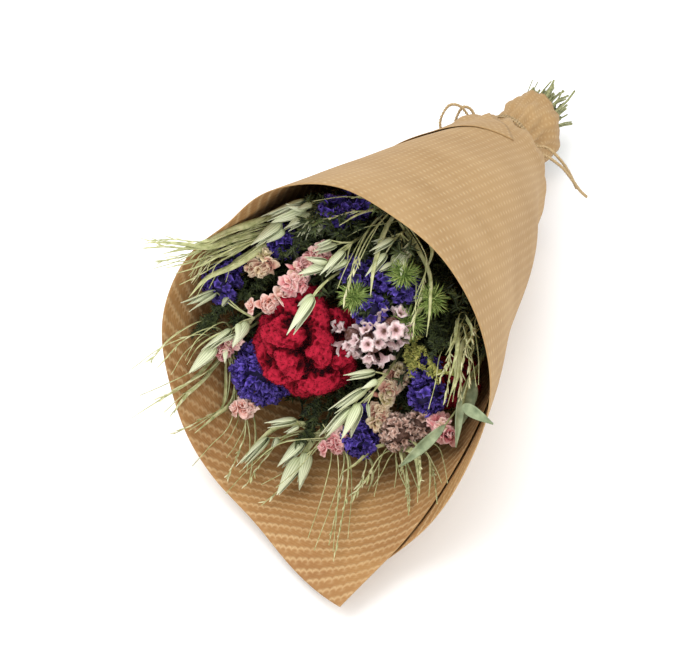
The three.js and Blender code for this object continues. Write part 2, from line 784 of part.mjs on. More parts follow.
// Each stem's points from its cut end, through the tie, to its head.
function stemPaths() {
  const slopes = STEMMED.map(({ top }) => [top[0] / (STEM_PACK + top[2]), top[1] / (STEM_PACK + top[2])]);
  const at = (z) => slopes.map(([x, y]) => [x * (STEM_PACK + z), y * (STEM_PACK + z)]);
  const tie = spread(spread(at(TIE), STEM_GAP, 200, 0.98), STEM_GAP, 30, 1);
  const levels = STEM_LEVELS.map((z) => spread(at(z), STEM_GAP * 3, 12, 1));
  const draw = draws(7);
  return STEMMED.map(({ top }, i) => {
    const [cx, cy] = axisAt(TIE);
    const end = STEM_END + STEM_END_SPREAD * (draw() - 0.5);
    const narrow = TIE + (TIE_TILT * tie[i][0]) / NECK_RADIUS;
    return [
      [cx + tie[i][0] * END_FLARE, cy + tie[i][1] * END_FLARE, end],
      [cx + tie[i][0], cy + tie[i][1], narrow],
      ...levels.map((points, k) => {
        const z = STEM_LEVELS[k];
        const [lx, ly] = axisAt(z);
        return [lx + points[i][0], ly + points[i][1], z];
      }),
      top,
    ];
  });
}

// ---------------------------------------------------------------- the plants

const model = new THREE.Group();
const bouquet = new THREE.Group();
bouquet.rotation.x = Math.PI / 2 - CONE_ANGLE;
bouquet.position.set(-MIDDLE.x, -MIDDLE.y, AXIS_HEIGHT);
model.add(bouquet);

function place(name, geometry, color, roughness) {
  const material = new THREE.MeshStandardMaterial({ color, roughness, metalness: 0 });
  const mesh = new THREE.Mesh(geometry, material);
  mesh.name = name;
  bouquet.add(mesh);
}

const STEM_GREEN = 0x93a06c;
const GOLDEN_TURN = Math.PI * (3 - Math.sqrt(5));

// Directions spread evenly round d, out to the angle whose cosine is `last`.
function evenly(d, count, last, draw) {
  const start = 2 * Math.PI * draw();
  return Array.from({ length: count }, (_, k) => {
    const share = (k + 0.5) / count;
    return leaning(d, Math.acos(1 - (1 - last) * share), start + k * GOLDEN_TURN);
  });
}

// Adds a stalk between two points when it has room, and says whether it did.
function tryStalk(list, a, b, r0, r1, owner) {
  if (!isFree(a, b, r0, owner)) {
    return false;
  }
  claim(a, b, r0, owner);
  list.push(stalk([a, b], r0, r1, 3));
  return true;
}

function cockscombHead({ name, at, radius, lobes }) {
  const draw = draws(radius * 31 + lobes);
  const facing = unit(add(TOWARDS_FLOWERS, mul(FACING, 0.6)));
  const [coreSide] = sides(facing);
  const core = radius * 0.6;
  const parts = [
    lump({ at, dir: facing, side: coreSide, sizes: [core, core, core] }, 1),
    stalk([at, stemTop(at, radius * HEAD_FOOT)], 2, 2, 4),
  ];
  claim(at, at, core, name);
  evenly(facing, lobes, -0.45, draw).forEach((dir) => {
    const [e1, e2] = sides(dir);
    const turn = Math.PI * draw();
    const side = add(mul(e1, Math.cos(turn)), mul(e2, Math.sin(turn)));
    const reach = radius * (0.54 + 0.1 * draw());
    const middle = add(at, mul(dir, reach));
    const across = mul(side, radius * 0.18);
    const outward = mul(dir, radius * 0.2);
    const body = radius * 0.24;
    const wide = isFree(sub(middle, across), add(middle, across), body, name);
    if (wide && isFree(middle, add(middle, outward), body, name)) {
      claim(sub(middle, across), add(middle, across), body, name);
      claim(middle, add(middle, outward), body, name);
      const sizes = [radius * 0.42, radius * 0.4, radius * 0.2];
      parts.push(lump({ at: middle, dir, side, sizes }, 1));
    }
  });
  return fused(parts);
}

const FLORET_WIDTH = 13.5;
const FLORETS_PER_AREA = 0.048;
const FLORET_CLAIM = 0.45; // share of the width that neighbours keep clear of

function staticeHead({ name, clusters }) {
  const draw = draws(clusters.length * 101 + Math.round(500 + clusters[0][0]));
  const parts = [];
  clusters.forEach(([x, y, z, radius], k) => {
    const at = [x, y, z];
    const core = radius * 0.6;
    const [coreSide] = sides(FACING);
    parts.push(lump({ at, dir: FACING, side: coreSide, sizes: [core, core, core] }, 0));
    claim(at, at, core, name);
    if (k === 0) {
      parts.push(stalk([at, stemTop(at, radius * HEAD_FOOT)], 1.4, 1.4, 4));
    } else {
      tryStalk(parts, clusters[0].slice(0, 3), at, 1.6, 1.6, name);
    }
    evenly(FACING, Math.round(radius * radius * FLORETS_PER_AREA), -0.7, draw).forEach((even) => {
      const dir = leaning(even, 0.25 * draw(), 2 * Math.PI * draw());
      const base = add(at, mul(dir, radius * 0.42));
      const length = radius * (0.5 + 0.16 * draw());
      const low = add(base, mul(dir, length * 0.6));
      const high = add(base, mul(dir, length * 0.9));
      if (isFree(low, high, FLORET_WIDTH * FLORET_CLAIM, name, FLORET_WIDTH / 2)) {
        claim(low, high, FLORET_WIDTH * FLORET_CLAIM, name);
        const [side] = sides(dir);
        parts.push(floret({ at: base, dir, side, length, width: FLORET_WIDTH, petals: 4, notch: 0.66 }));
      }
    });
  });
  return fused(parts);
}

function larkspur({ name, spike, florets }, stem) {
  const draw = draws(florets * 57 + Math.round(600 + spike[0][1]));
  const parts = [stem];
  for (let k = 1; k < spike.length; k += 1) {
    tryStalk(parts, spike[k - 1], spike[k], 1.2, 1.0, name);
  }
  for (let k = 0; k < florets; k += 1) {
    const along = ((k + 0.5) / florets) * (spike.length - 1);
    const leg = Math.floor(along);
    const base = mix(spike[leg], spike[leg + 1], along - leg);
    const dir = leaning(FACING, 0.25 + 0.7 * draw(), 2 * Math.PI * draw());
    const [side] = sides(dir);
    const length = 7.5 + 2.5 * draw();
    const width = 11.5 + 3 * draw();
    const high = add(base, mul(dir, length * 0.8));
    if (isFree(base, high, width * 0.46, name, width / 2)) {
      claim(base, high, width * 0.46, name);
      parts.push(floret({ at: base, dir, side, length, width, petals: 4, notch: 0.6 }));
    }
  }
  return fused(parts);
}

function tuft({ name, places }, stem) {
  const draw = draws(places.length * 77 + Math.round(700 + places[0][0]));
  const parts = [stem];
  places.forEach((at, k) => {
    const [coreSide] = sides(FACING);
    parts.push(lump({ at, dir: FACING, side: coreSide, sizes: [4, 4, 4] }, 0));
    claim(at, at, 4, name);
    if (k > 0) {
      tryStalk(parts, places[0], at, 1.2, 1.2, name);
    }
    evenly(FACING, 14, -0.35, draw).forEach((dir) => {
      const length = 10 + 4 * draw();
      const tip = add(at, mul(dir, length));
      if (isFree(at, tip, 1, name)) {
        claim(at, tip, 1, name);
        parts.push(spine({ at: add(at, mul(dir, 3)), dir, length: length - 3, width: 2.6 }));
      }
    });
  });
  return fused(parts);
}

function sprig({ name, arms, spines, length }, stem) {
  const draw = draws(spines * 13 + Math.round(800 + arms[0][0][0]));
  const parts = [stem];
  arms.forEach((arm) => {
    for (let k = 1; k < arm.length; k += 1) {
      tryStalk(parts, arm[k - 1], arm[k], 1.2, 0.9, name);
    }
    for (let k = 0; k < spines; k += 1) {
      const along = ((k + 0.5) / spines) * (arm.length - 1);
      const leg = Math.floor(along);
      const base = mix(arm[leg], arm[leg + 1], along - leg);
      const forward = unit(sub(arm[leg + 1], arm[leg]));
      const dir = leaning(forward, 0.7 + 0.5 * draw(), k * GOLDEN_TURN);
      const reach = length * (0.8 + 0.5 * draw());
      const tip = add(base, mul(dir, reach));
      if (isFree(base, tip, 0.9, name)) {
        claim(base, tip, 0.9, name);
        parts.push(spine({ at: add(base, mul(dir, 0.7)), dir, length: reach - 0.7, width: 2.2 }));
      }
    }
  });
  return fused(parts);
}

function oats({ name, top, spikelets }, stem) {
  const draw = draws(spikelets.length * 19 + Math.round(900 + top[0]));
  const parts = [stem];
  spikelets.forEach(([base, tip]) => {
    const span = sub(tip, base);
    const reach = Math.sqrt(dot(span, span));
    const dir = unit(span);
    const low = add(base, mul(dir, reach * 0.25));
    const high = add(base, mul(dir, reach * 0.75));
    const turn = Math.PI * draw();
    if (!isFree(low, high, reach * 0.16, name) || !tryStalk(parts, top, base, 0.8, 0.6, name)) {
      return;
    }
    claim(low, high, reach * 0.16, name);
    const [e1, e2] = sides(dir);
    const side = add(mul(e1, Math.cos(turn)), mul(e2, Math.sin(turn)));
    parts.push(husk({ at: sub(base, mul(dir, 0.8)), dir, side, length: reach }));
  });
  return fused(parts);
}

const GRASS_SPINES = 5; // per strand

function grass({ name, top, strands }, stem) {
  const draw = draws(strands.length * 41 + Math.round(950 + top[0]));
  const parts = [stem];
  strands.forEach((strand) => {
    const chain = [top, ...strand];
    let reached = 0;
    while (reached + 1 < chain.length) {
      if (!tryStalk(parts, chain[reached], chain[reached + 1], 0.75, 0.75, name)) {
        break;
      }
      reached += 1;
    }
    for (let k = 0; k < GRASS_SPINES; k += 1) {
      const along = 1 + (k / GRASS_SPINES) * (chain.length - 2);
      const leg = Math.min(Math.floor(along), chain.length - 2);
      const lean = 0.25 + 0.3 * draw();
      const turn = 2 * Math.PI * draw();
      const length = 10 + 7 * draw();
      if (leg < reached) {
        const base = mix(chain[leg], chain[leg + 1], along - leg);
        const dir = leaning(unit(sub(chain[leg + 1], chain[leg])), lean, turn);
        const tip = add(base, mul(dir, length));
        if (isFree(base, tip, 0.9, name)) {
          claim(base, tip, 0.9, name);
          parts.push(spine({ at: base, dir, length, width: 2.0 }));
        }
      }
    }
  });
  return fused(parts);
}

function leaves({ name, top, blades }, stem) {
  const parts = [stem];
  blades.forEach(([base, tip, width]) => {
    const span = sub(tip, base);
    const length = Math.sqrt(dot(span, span));
    const dir = unit(span);
    const side = unit(cross(dir, FACING));
    const low = mix(base, tip, 0.3);
    const high = mix(base, tip, 0.85);
    if (isFree(low, high, width * 0.4, name) && tryStalk(parts, top, base, 0.9, 0.8, name)) {
      claim(low, high, width * 0.5, name);
      const at = sub(base, mul(dir, 1));
      parts.push(blade({ at, dir, side, length: length + 1, width, thick: 1.4, belly: 0.4 }));
    }
  });
  return fused(parts);
}

// ---------------------------------------------------------------- twine

function cord(route, count) {
  const curve = new THREE.CatmullRomCurve3(route.map((p) => new THREE.Vector3(...p)));
  const section = new THREE.Shape();
  for (let k = 0; k < count; k += 1) {
    const angle = (2 * Math.PI * k) / count;
    const x = (TWINE_DIAMETER / 2) * Math.cos(angle);
    const y = (TWINE_DIAMETER / 2) * Math.sin(angle);
    if (k === 0) {
      section.moveTo(x, y);
    } else {
      section.lineTo(x, y);
    }
  }
  section.closePath();
  const steps = Math.max(6, Math.round(curve.getLength() / (3 * TWINE_DIAMETER)));
  return new THREE.ExtrudeGeometry(section, {
    steps,
    curveSegments: 1,
    extrudePath: curve,
    bevelEnabled: false,
  });
}

// A point of the tie round the neck.
function bandPoint(turn, radius, along) {
  const [cx, cy] = axisAt(TIE);
  const s = Math.sin(turn * RAD);
  return [cx - radius * s, cy - radius * Math.cos(turn * RAD), TIE - TIE_TILT * s + along];
}

function twineTie() {
  const parts = BAND_TURNS.map((along) => {
    const route = [];
    for (let turn = 0; turn <= 360; turn += 18) {
      route.push(bandPoint(KNOTS[0].turn + turn, BAND_RADIUS, along));
    }
    return cord(route, 5);
  });
  KNOTS.forEach(({ turn }) => {
    const at = bandPoint(turn, BAND_RADIUS + 0.6, 0);
    const ring = new THREE.TorusGeometry(2.6, TWINE_DIAMETER / 2, 5, 8);
    ring.lookAt(new THREE.Vector3(0.5, 0.5, 0.4));
    ring.translate(...at);
    parts.push(ring);
  });
  BOW.forEach((route) => parts.push(cord(route, 5)));
  return fused(parts);
}

// ---------------------------------------------------------------- the bouquet

place('kraft_wrap', kraftWrap(), 0xc49a64, 0.85);
place('twine_tie', twineTie(), 0xa6885c, 0.9);
TAILS.forEach(({ name, route }) => place(name, cord(route, 8), 0xa6885c, 0.9));

const stems = {};
stemPaths().forEach((path, i) => {
  const { name, radius, apart } = STEMMED[i];
  stems[name] = stalk(path, radius, radius * 0.85, 5);
  for (let k = 1; k < path.length; k += 1) {
    claim(path[k - 1], path[k], radius, apart ? `${name}_stem` : name);
  }
});

COCKSCOMBS.forEach((s) => {
  place(s.name, cockscombHead(s), s.color, 0.95);
  place(`${s.name}_stem`, stems[s.name], STEM_GREEN, 0.8);
});
OATS.forEach((s) => place(s.name, oats(s, stems[s.name]), 0xb7bf94, 0.7));
LARKSPURS.forEach((s) => place(s.name, larkspur(s, stems[s.name]), s.color, 0.85));
STATICE.forEach((s) => {
  place(s.name, staticeHead(s), s.color, 0.9);
  place(`${s.name}_stem`, stems[s.name], STEM_GREEN, 0.8);
});
TUFTS.forEach((s) => place(s.name, tuft(s, stems[s.name]), 0x5f7a34, 0.8));
place(LEAVES.name, leaves(LEAVES, stems[LEAVES.name]), 0x9fae88, 0.7);
GRASSES.forEach((s) => place(s.name, grass(s, stems[s.name]), 0xb9c084, 0.75));
SPRIGS.forEach((s) => place(s.name, sprig(s, stems[s.name]), s.color, 0.9));

export default model;
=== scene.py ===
"""A mixed dried-flower bouquet in a cone of kraft paper: its looks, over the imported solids.

Sizes are in millimetres in the bouquet's own frame, as in the part's source: x across, y up from the
paper's axis, z along the axis from the tie towards the flowers. Every mesh is made there, and is then
laid down on the table in metres.
"""

import json
import math

import bmesh
import bpy
import numpy as np
from mathutils import Euler, Matrix, Vector, noise

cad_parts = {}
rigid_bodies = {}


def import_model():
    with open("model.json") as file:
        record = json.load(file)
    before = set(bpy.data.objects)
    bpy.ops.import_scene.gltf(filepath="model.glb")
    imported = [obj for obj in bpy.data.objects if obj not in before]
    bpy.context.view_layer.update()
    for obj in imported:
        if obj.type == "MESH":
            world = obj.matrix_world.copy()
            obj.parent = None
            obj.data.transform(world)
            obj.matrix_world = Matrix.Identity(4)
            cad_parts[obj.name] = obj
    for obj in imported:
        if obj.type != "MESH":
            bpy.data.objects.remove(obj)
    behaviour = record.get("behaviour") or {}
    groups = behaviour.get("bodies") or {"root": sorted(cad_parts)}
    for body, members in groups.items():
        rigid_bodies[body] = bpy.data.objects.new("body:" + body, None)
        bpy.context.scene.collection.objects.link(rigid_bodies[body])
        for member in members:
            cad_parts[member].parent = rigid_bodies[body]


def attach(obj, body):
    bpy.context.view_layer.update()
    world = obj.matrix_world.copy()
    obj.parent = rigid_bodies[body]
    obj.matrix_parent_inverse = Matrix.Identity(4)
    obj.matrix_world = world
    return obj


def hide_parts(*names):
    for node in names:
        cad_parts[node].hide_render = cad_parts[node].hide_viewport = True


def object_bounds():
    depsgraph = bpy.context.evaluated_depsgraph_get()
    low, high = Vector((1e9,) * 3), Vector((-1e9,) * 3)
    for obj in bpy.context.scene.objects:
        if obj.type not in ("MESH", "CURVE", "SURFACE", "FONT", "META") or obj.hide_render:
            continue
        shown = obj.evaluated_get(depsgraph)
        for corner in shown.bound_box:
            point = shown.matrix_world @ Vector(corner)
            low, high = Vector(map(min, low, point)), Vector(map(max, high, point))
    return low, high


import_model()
cad_low, cad_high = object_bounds()

# ---------------------------------------------------------------- the paper's sizes

SHEET_WIDTH = 500.0  # the paper's side along the cone
SHEET_LENGTH = 750.0  # the paper's side round the cone
CONE_SLOPE = 0.16  # radius gained per mm of axis
APEX_TO_NECK = 265.0  # from the cone's virtual apex to the axis zero, at the neck
NECK_TO_RIM = 405.0  # from there along the paper to the rim, where it is nearest
TIP_TO_NEAREST = 400.0  # along the rim, from the sheet's tip corner to that nearest place
SEAM_TURN = 163.4  # degrees, the turn where the rim is nearest
PAPER_SHOWN = 0.5  # thickness that shows
PAPER_MIDDLE = 0.4  # the middle of the solid paper below its outer face
LAYER_PITCH = 2.0  # radius gained by each further turn of paper
FLOOR_PRESS = 3.0  # how far the lowest line of the cone is pressed flat
FLOOR_TURN = 330.0  # the turn from which the paper lies on the floor itself
FLAP_LIFT = 5.0  # how far the paper's outer end springs off
FLAP_REACH = 60.0  # over this length of paper
FLAP_HELD = 122.0  # and not at all up to here along the axis
FLAP_FREE = 240.0  # the full lift beyond here
FLAP_PRESSED = 1.3  # how far the held end is drawn in
COLUMN_STEP = 12.0  # degrees from one pleat's crest to its foot
PLEAT_DEPTH = 2.2  # half the depth of a pleat, where its share below is 1
NECK_SHIFT = (-5.0, 8.0)  # the tie and sleeve stand off the cone's axis
TIE_TILT = 16.0  # the tie lies this much nearer the flowers on its right than in its middle
SHIFT_FROM = 40.0  # full shift up to here
SHIFT_TO = 110.0  # and none beyond here

# The gathered end of the paper: distance along the axis, mean radius, share of the pleat depth.
GATHER = [
    (-60, 27.0, 0.3),
    (-35, 28.0, 0.4),
    (-2, 24.5, 1.0),
    (20, 20.4, 1.4),
    (38, 28.2, 1.6),
    (56, 41.6, 1.3),
    (72, 51.0, 0.6),
    (95, 57.6, 0.0),
]
MIDDLE = (4.422, -201.897)  # middle of the finished bouquet's outline on the table

# Where the cone is pushed out or in: turn, distance along the axis, radius gained, and how far the
# push spreads round the cone (degrees) and along it.
PUSHES = [
    (8, 463, -15, 29, 46),
    (88, 410, 5.5, 24, 90),
    (134, 403, -5.5, 14, 90),
    (172, 400, 3, 20, 90),
    (256, 420, 3.5, 25, 90),
    (275, 118, -7, 45, 42),
    (285, -38, 4.5, 60, 26),
]

# The paper's hand-made unevenness, in radius.
SWELL_HIGH = 2.2  # broad swells along the cone
CREASE_HIGH = 2.6  # creases round the tie
CREASE_MIDDLE = 18.0  # where along the axis they are deepest
CREASE_SPREAD = 55.0
SLEEVE_HIGH = 4.0  # folds of the sleeve
SLEEVE_START = 20.0  # the folds reach their full height this far behind the axis zero
SHOULDER_SAG = (168.0, 80.0, 4.5, 35.0, 28.0)  # turn, place along the axis, depth, and its spread

EDGE_ROOM = 4.0  # the paper's edge counts as this much wider where plants are fitted in
FLOOR_ROOM = 4.5  # height that the pressed paper takes from the floor
WALL_ROOM = 4.2  # radius that the turns of paper take
PAST_SOLIDS = 0.003  # metres that a fine part may stand past the solids' outer size

CONE_ANGLE = math.atan(CONE_SLOPE)
SIN_CONE = math.sin(CONE_ANGLE)
COS_CONE = math.cos(CONE_ANGLE)
RIM_RHO = APEX_TO_NECK / COS_CONE + NECK_TO_RIM
SHEET_LEFT = -TIP_TO_NEAREST
SHEET_RIGHT = SHEET_LENGTH - TIP_TO_NEAREST
SHEET_LOW = RIM_RHO - SHEET_WIDTH
GATHER_END = float(GATHER[-1][0])
GATHER_RHO = (GATHER_END + APEX_TO_NECK) / COS_CONE
GATHER_PACK = (GATHER_END - GATHER[0][0]) / (GATHER_RHO - SHEET_LOW)
AXIS_HEIGHT = APEX_TO_NECK * SIN_CONE - FLOOR_PRESS

LAY_DOWN = (
    Matrix.Scale(0.001, 4)
    @ Matrix.Translation((-MIDDLE[0], -MIDDLE[1], AXIS_HEIGHT))
    @ Matrix.Rotation(math.pi / 2 - CONE_ANGLE, 4, "X")
)

# ---------------------------------------------------------------- the plants' places

COCKSCOMBS = [
    {"name": "cockscomb_1", "at": (-22, -11, 380), "radius": 36, "lobes": 14},
    {"name": "cockscomb_2", "at": (71, -23, 362), "radius": 18, "lobes": 8},
]

# Statice heads: the clusters of each as (x, y, z, radius).
STATICE = [
    {"name": "statice_pale", "clusters": [(24, 6, 391, 10), (10, 6, 388, 8), (35, 18, 386, 9)]},
    {"name": "statice_dusty", "clusters": [(48, -53, 391, 11), (60, -45, 385, 8)]},
    {"name": "statice_mauve", "clusters": [(-80, 35, 351, 10)]},
    {"name": "statice_1", "clusters": [(-53, -42, 384, 21)]},
    {"name": "statice_2", "clusters": [(-87, 13, 380, 11), (-88, 25, 371, 9)]},
    {"name": "statice_3", "clusters": [(-52, 46, 364, 10)]},
    {"name": "statice_4", "clusters": [(-20, 71, 358, 10), (-10, 76, 348, 9)]},
    {"name": "statice_5", "clusters": [(21, 44, 372, 8), (4, 42, 372, 9), (36, 41, 374, 9)]},
    {"name": "statice_6", "clusters": [(19, 24, 384, 9)]},
    {"name": "statice_7", "clusters": [(61, -26, 382, 11), (56, -13, 374, 8)]},
    {"name": "statice_8", "clusters": [(22, -65, 392, 11), (24, -54, 385, 9)]},
]

LARKSPURS = [
    {"name": "larkspur_1", "spike": [(-72, 28, 374), (-51, 38, 378)], "florets": 4},
    {"name": "larkspur_2", "spike": [(-20, 52, 372), (-29, 40, 380), (-36, 28, 386)], "florets": 7},
    {"name": "larkspur_3", "spike": [(-40, 21, 386), (-54, 11, 394)], "florets": 3},
    {"name": "larkspur_4", "spike": [(-57, -63, 392), (-60, -64, 400)], "florets": 3},
    {"name": "larkspur_5", "spike": [(-71, -18, 386), (-83, -31, 392)], "florets": 3},
    {"name": "larkspur_6", "spike": [(35, -22, 368), (34, -31, 380), (29, -53, 394)], "florets": 7},
    {"name": "larkspur_7", "spike": [(12, -65, 392), (5, -74, 401)], "florets": 3},
    {"name": "larkspur_8", "spike": [(64, -45, 378), (74, -40, 390), (82, -45, 397)], "florets": 4},
]

TUFTS = [
    {"name": "tuft_1", "places": [(10, 34, 390)]},
    {"name": "tuft_2", "places": [(37, 52, 379)]},
    {"name": "tuft_3", "places": [(45, 22, 382), (57, 40, 380)]},
]

SPRIGS = [
    {"name": "moss_1", "arms": [[(-77, 2, 376), (-61, 20, 368)], [(-77, 2, 376), (-95, -13, 394)]]},
    {"name": "moss_2", "arms": [[(-15, -53, 378), (-13, -76, 392)]]},
    {"name": "moss_3", "arms": [[(52, 22, 368), (65, 7, 380)]]},
    {
        "name": "goldenrod",
        "arms": [[(39, 4, 372), (55, 4, 380), (69, -6, 386)], [(39, 4, 372), (50, -8, 384)]],
    },
]

# Oats: where the spikelets' stalks part, then each spikelet's base and tip.
OATS = [
    {
        "name": "oats_1",
        "top": (-32, 71, 350),
        "spikelets": [
            [(-38, 77, 362), (-60, 66, 379)],
            [(-38, 72, 362), (-55, 63, 376)],
            [(-33, 70, 364), (-45, 61, 377)],
            [(-31, 69, 366), (-33, 59, 380)],
            [(-39, 73, 354), (-56, 68, 366)],
            [(-29, 71, 362), (-24, 62, 376)],
            [(-51, 62, 370), (-63, 49, 386)],
        ],
    },
    {"name": "oats_2", "top": (-5, 45, 398), "spikelets": [[(-8, 39, 412), (-15, 19, 430)]]},
    {
        "name": "oats_3",
        "top": (-1, 61, 372),
        "spikelets": [
            [(-2, 59, 382), (-10, 46, 397)],
            [(-12, 49, 386), (-25, 43, 398)],
            [(-9, 60, 378), (-20, 56, 389)],
        ],
    },
    {
        "name": "oats_4",
        "top": (27, 70, 362),
        "spikelets": [
            [(23, 61, 376), (17, 49, 390)],
            [(25, 69, 370), (15, 62, 382)],
            [(36, 67, 366), (32, 60, 382)],
            [(33, 62, 372), (38, 52, 384)],
        ],
    },
    {
        "name": "oats_5",
        "top": (-61, -3, 384),
        "spikelets": [
            [(-73, -11, 392), (-87, -25, 405)],
            [(-82, -23, 397), (-93, -40, 412)],
            [(-62, -3, 391), (-66, -16, 405)],
            [(-88, 10, 386), (-100, 6, 408)],
        ],
    },
    {
        "name": "oats_6",
        "top": (36, -13, 392),
        "spikelets": [
            [(31, -9, 399), (16, -10, 413)],
            [(27, -21, 401), (9, -36, 415)],
            [(20, -35, 405), (5, -55, 417)],
            [(25, -30, 406), (21, -52, 417)],
        ],
    },
    {
        "name": "oats_7",
        "top": (-18, -75, 386),
        "spikelets": [
            [(-21, -61, 398), (-37, -62, 412)],
            [(-40, -80, 400), (-44, -84, 435)],
            [(-17, -78, 394), (-26, -92, 412)],
            [(-12, -84, 398), (-4, -92, 426)],
            [(-15, -86, 402), (-12, -90, 442)],
        ],
    },
]

# Grasses: where the strands part, then each strand's points. Some have their own number of strands
# beside each listed one, and spread.
GRASSES = [
    {
        "name": "grass_1",
        "company": (16, 8.0),
        "top": (-60, 57, 362),
        "strands": [
            [(-75, 57, 388), (-82, 57, 410), (-98, 61, 426), (-110, 61, 436)],
            [(-79, 52, 388), (-92, 47, 412), (-106, 45, 430)],
            [(-76, 44, 384), (-88, 38, 396), (-95, 25, 402)],
        ],
    },
    {
        "name": "grass_2",
        "top": (-82, -34, 374),
        "strands": [
            [(-86, -14, 390), (-98, -17, 410), (-102, -25, 436)],
            [(-74, -64, 396), (-79, -66, 422), (-85, -65, 446)],
            [(-84, -40, 400), (-92, -43, 424), (-98, -45, 440)],
            [(-58, -74, 398), (-51, -84, 422), (-46, -86, 447)],
        ],
    },
    {
        "name": "grass_3",
        "top": (0, -72, 384),
        "strands": [
            [(12, -78, 394), (19, -93, 412), (35, -96, 466)],
            [(-8, -83, 396), (-14, -94, 415), (-17, -92, 454)],
            [(-27, -77, 396), (-36, -88, 412), (-33, -88, 445)],
            [(26, -74, 394), (30, -86, 402), (30, -93, 420)],
        ],
    },
    {
        "name": "grass_4",
        "top": (50, -66, 384),
        "strands": [
            [(56, -72, 396), (64, -77, 410), (73, -76, 432)],
            [(68, -62, 392), (80, -62, 412), (96, -53, 452)],
            [(38, -72, 394), (34, -83, 404), (30, -92, 416)],
        ],
    },
    {
        "name": "grass_5",
        "top": (75, 15, 356),
        "strands": [
            [(80, 20, 378), (90, 14, 398), (96, 8, 414)],
            [(72, 12, 378), (78, 4, 396), (83, -6, 416)],
            [(76, 24, 372), (85, 24, 392), (89, 20, 410)],
        ],
    },
    {
        "name": "grass_6",
        "company": (4, 14.0),
        "top": (14, 77, 344),
        "strands": [
            [(6, 78, 356), (-6, 78, 366), (-20, 72, 376)],
            [(44, 60, 366), (50, 46, 380), (51, 26, 394)],
            [(8, 66, 366), (9, 54, 392), (10, 40, 408)],
        ],
    },
]

# Leaves: where their stalks part, then each blade's base, tip and width.
LEAVES = {
    "name": "leaves",
    "top": (87, -5, 362),
    "blades": [
        [(87, -11, 374), (90, -30, 397), 11],
        [(84, -14, 386), (92, -38, 412), 6],
        [(82, -28, 406), (60, -58, 420), 8],
        [(98, 4, 430), (121, 6, 444), 8],
    ],
}

# The free ends of the twine, by points chosen along each.
TAILS = {
    "twine_tail_1": [
        (23.2, 20.6, 34.9),
        (33, 20, 33),
        (43, 11, 28),
        (50, -1, 20),
        (54, -13, 11),
        (56, -21, 4),
    ],
    "twine_tail_2": [
        (22.9, 16.8, 37.9),
        (35, 15, 39),
        (48, 6, 34),
        (57, -7, 26),
        (62, -18, 16),
        (66, -26, 6),
    ],
}
BOW = [
    [
        (-31, 12, 6),
        (-40, 24, 16),
        (-50, 36, 20),
        (-60, 36, 24),
        (-64, 22, 30),
        (-58, 10, 28),
        (-44, 8, 16),
        (-31, 10, 4),
    ],
    [
        (-31, 12, 6),
        (-38, 24, 10),
        (-44, 33, 12),
        (-51, 33, 14),
        (-54, 20, 18),
        (-46, 12, 14),
        (-31, 10, 4),
    ],
]
KNOT_TURNS = [246, 100]  # degrees: the tails' knot and the bow's knot
KNOT_LOOPS = [(0.4, 0.0), (1.2, 1.9), (0.9, 4.0)]  # how each loop of a knot leans, and towards where
KNOT_RADIUS = 3.0
KNOT_AXIS = (0.5, 0.5, 0.4)
BAND_RADIUS = 26.8
BAND_TURNS = [-1.75, 1.75]  # how far each of the band's two turns lies from the tie's middle
TWINE_DIAMETER = 2.6
TWINE_TWIST = 0.75  # radians per millimetre

STEM_END = -104.0  # mean place of the cut ends
STEM_END_SPREAD = 18.0
STEM_PACK = 60.0  # the stems run to a common point this far behind the axis zero
STEM_GAP = 0.5  # gap between neighbouring stems at the tie
HEAD_FOOT = 0.66  # share of a head's radius by which its foot reaches down
FOOT_GAP = 0.4  # from that foot to the stem's top
TIE = 20.0  # the tie's place along the axis
NECK_RADIUS = 20.4  # of the paper at the tie
STEM_LEVELS = [110.0, 240.0]  # further places where neighbouring stems are kept apart
COCKSCOMB_STEM = 1.5  # radius
FLOWER_STEM = 1.4
SPRAY_STEM = 1.3
GRASS_STEM = 1.2
END_FLARE = 1.65  # the bundle opens this much from the tie to the cut ends

GOLDEN_TURN = math.pi * (3 - math.sqrt(5))

# ---------------------------------------------------------------- small sums


def point(p):
    return np.array(p, float)


def unit(v):
    return v / np.linalg.norm(v)


def mix(a, b, t):
    return a * (1 - t) + b * t


def smooth(t):
    c = np.clip(t, 0, 1)
    return c * c * (3 - 2 * c)


def sides(d):
    """Two directions square to d."""
    helper = point((0, 1, 0)) if abs(d[1]) < 0.9 else point((1, 0, 0))
    first = unit(np.cross(helper, d))
    return first, np.cross(d, first)


def square_to(d, turn):
    """The direction square to d at `turn` radians round it."""
    first, second = sides(d)
    return first * math.cos(turn) + second * math.sin(turn)


def leaning(d, lean, turn):
    """A direction leaning from d by `lean` radians, towards `turn` radians round it."""
    return unit(d * math.cos(lean) + square_to(d, turn) * math.sin(lean))


def any_side(direction, draw):
    """A random direction square to the given one."""
    side = leaning(direction, math.pi / 2, 2 * math.pi * draw())
    return unit(side - direction * (side @ direction))


def spot_on(chain, along):
    """The point of a chain at `along` legs from its start, and the leg it lies on."""
    leg = min(int(along), len(chain) - 2)
    return mix(chain[leg], chain[leg + 1], along - leg), leg


def draws(seed):
    """Seeded random numbers from 0 to 1."""
    state = int(seed) & 0xFFFFFFFF

    def draw():
        nonlocal state
        state = (state * 1664525 + 1013904223) & 0xFFFFFFFF
        return state / 4294967296

    return draw


def evenly(d, count, last, draw):
    """Directions spread evenly round d, out to the angle whose cosine is `last`."""
    start = 2 * math.pi * draw()
    return [
        leaning(d, math.acos(1 - (1 - last) * (k + 0.5) / count), start + k * GOLDEN_TURN)
        for k in range(count)
    ]


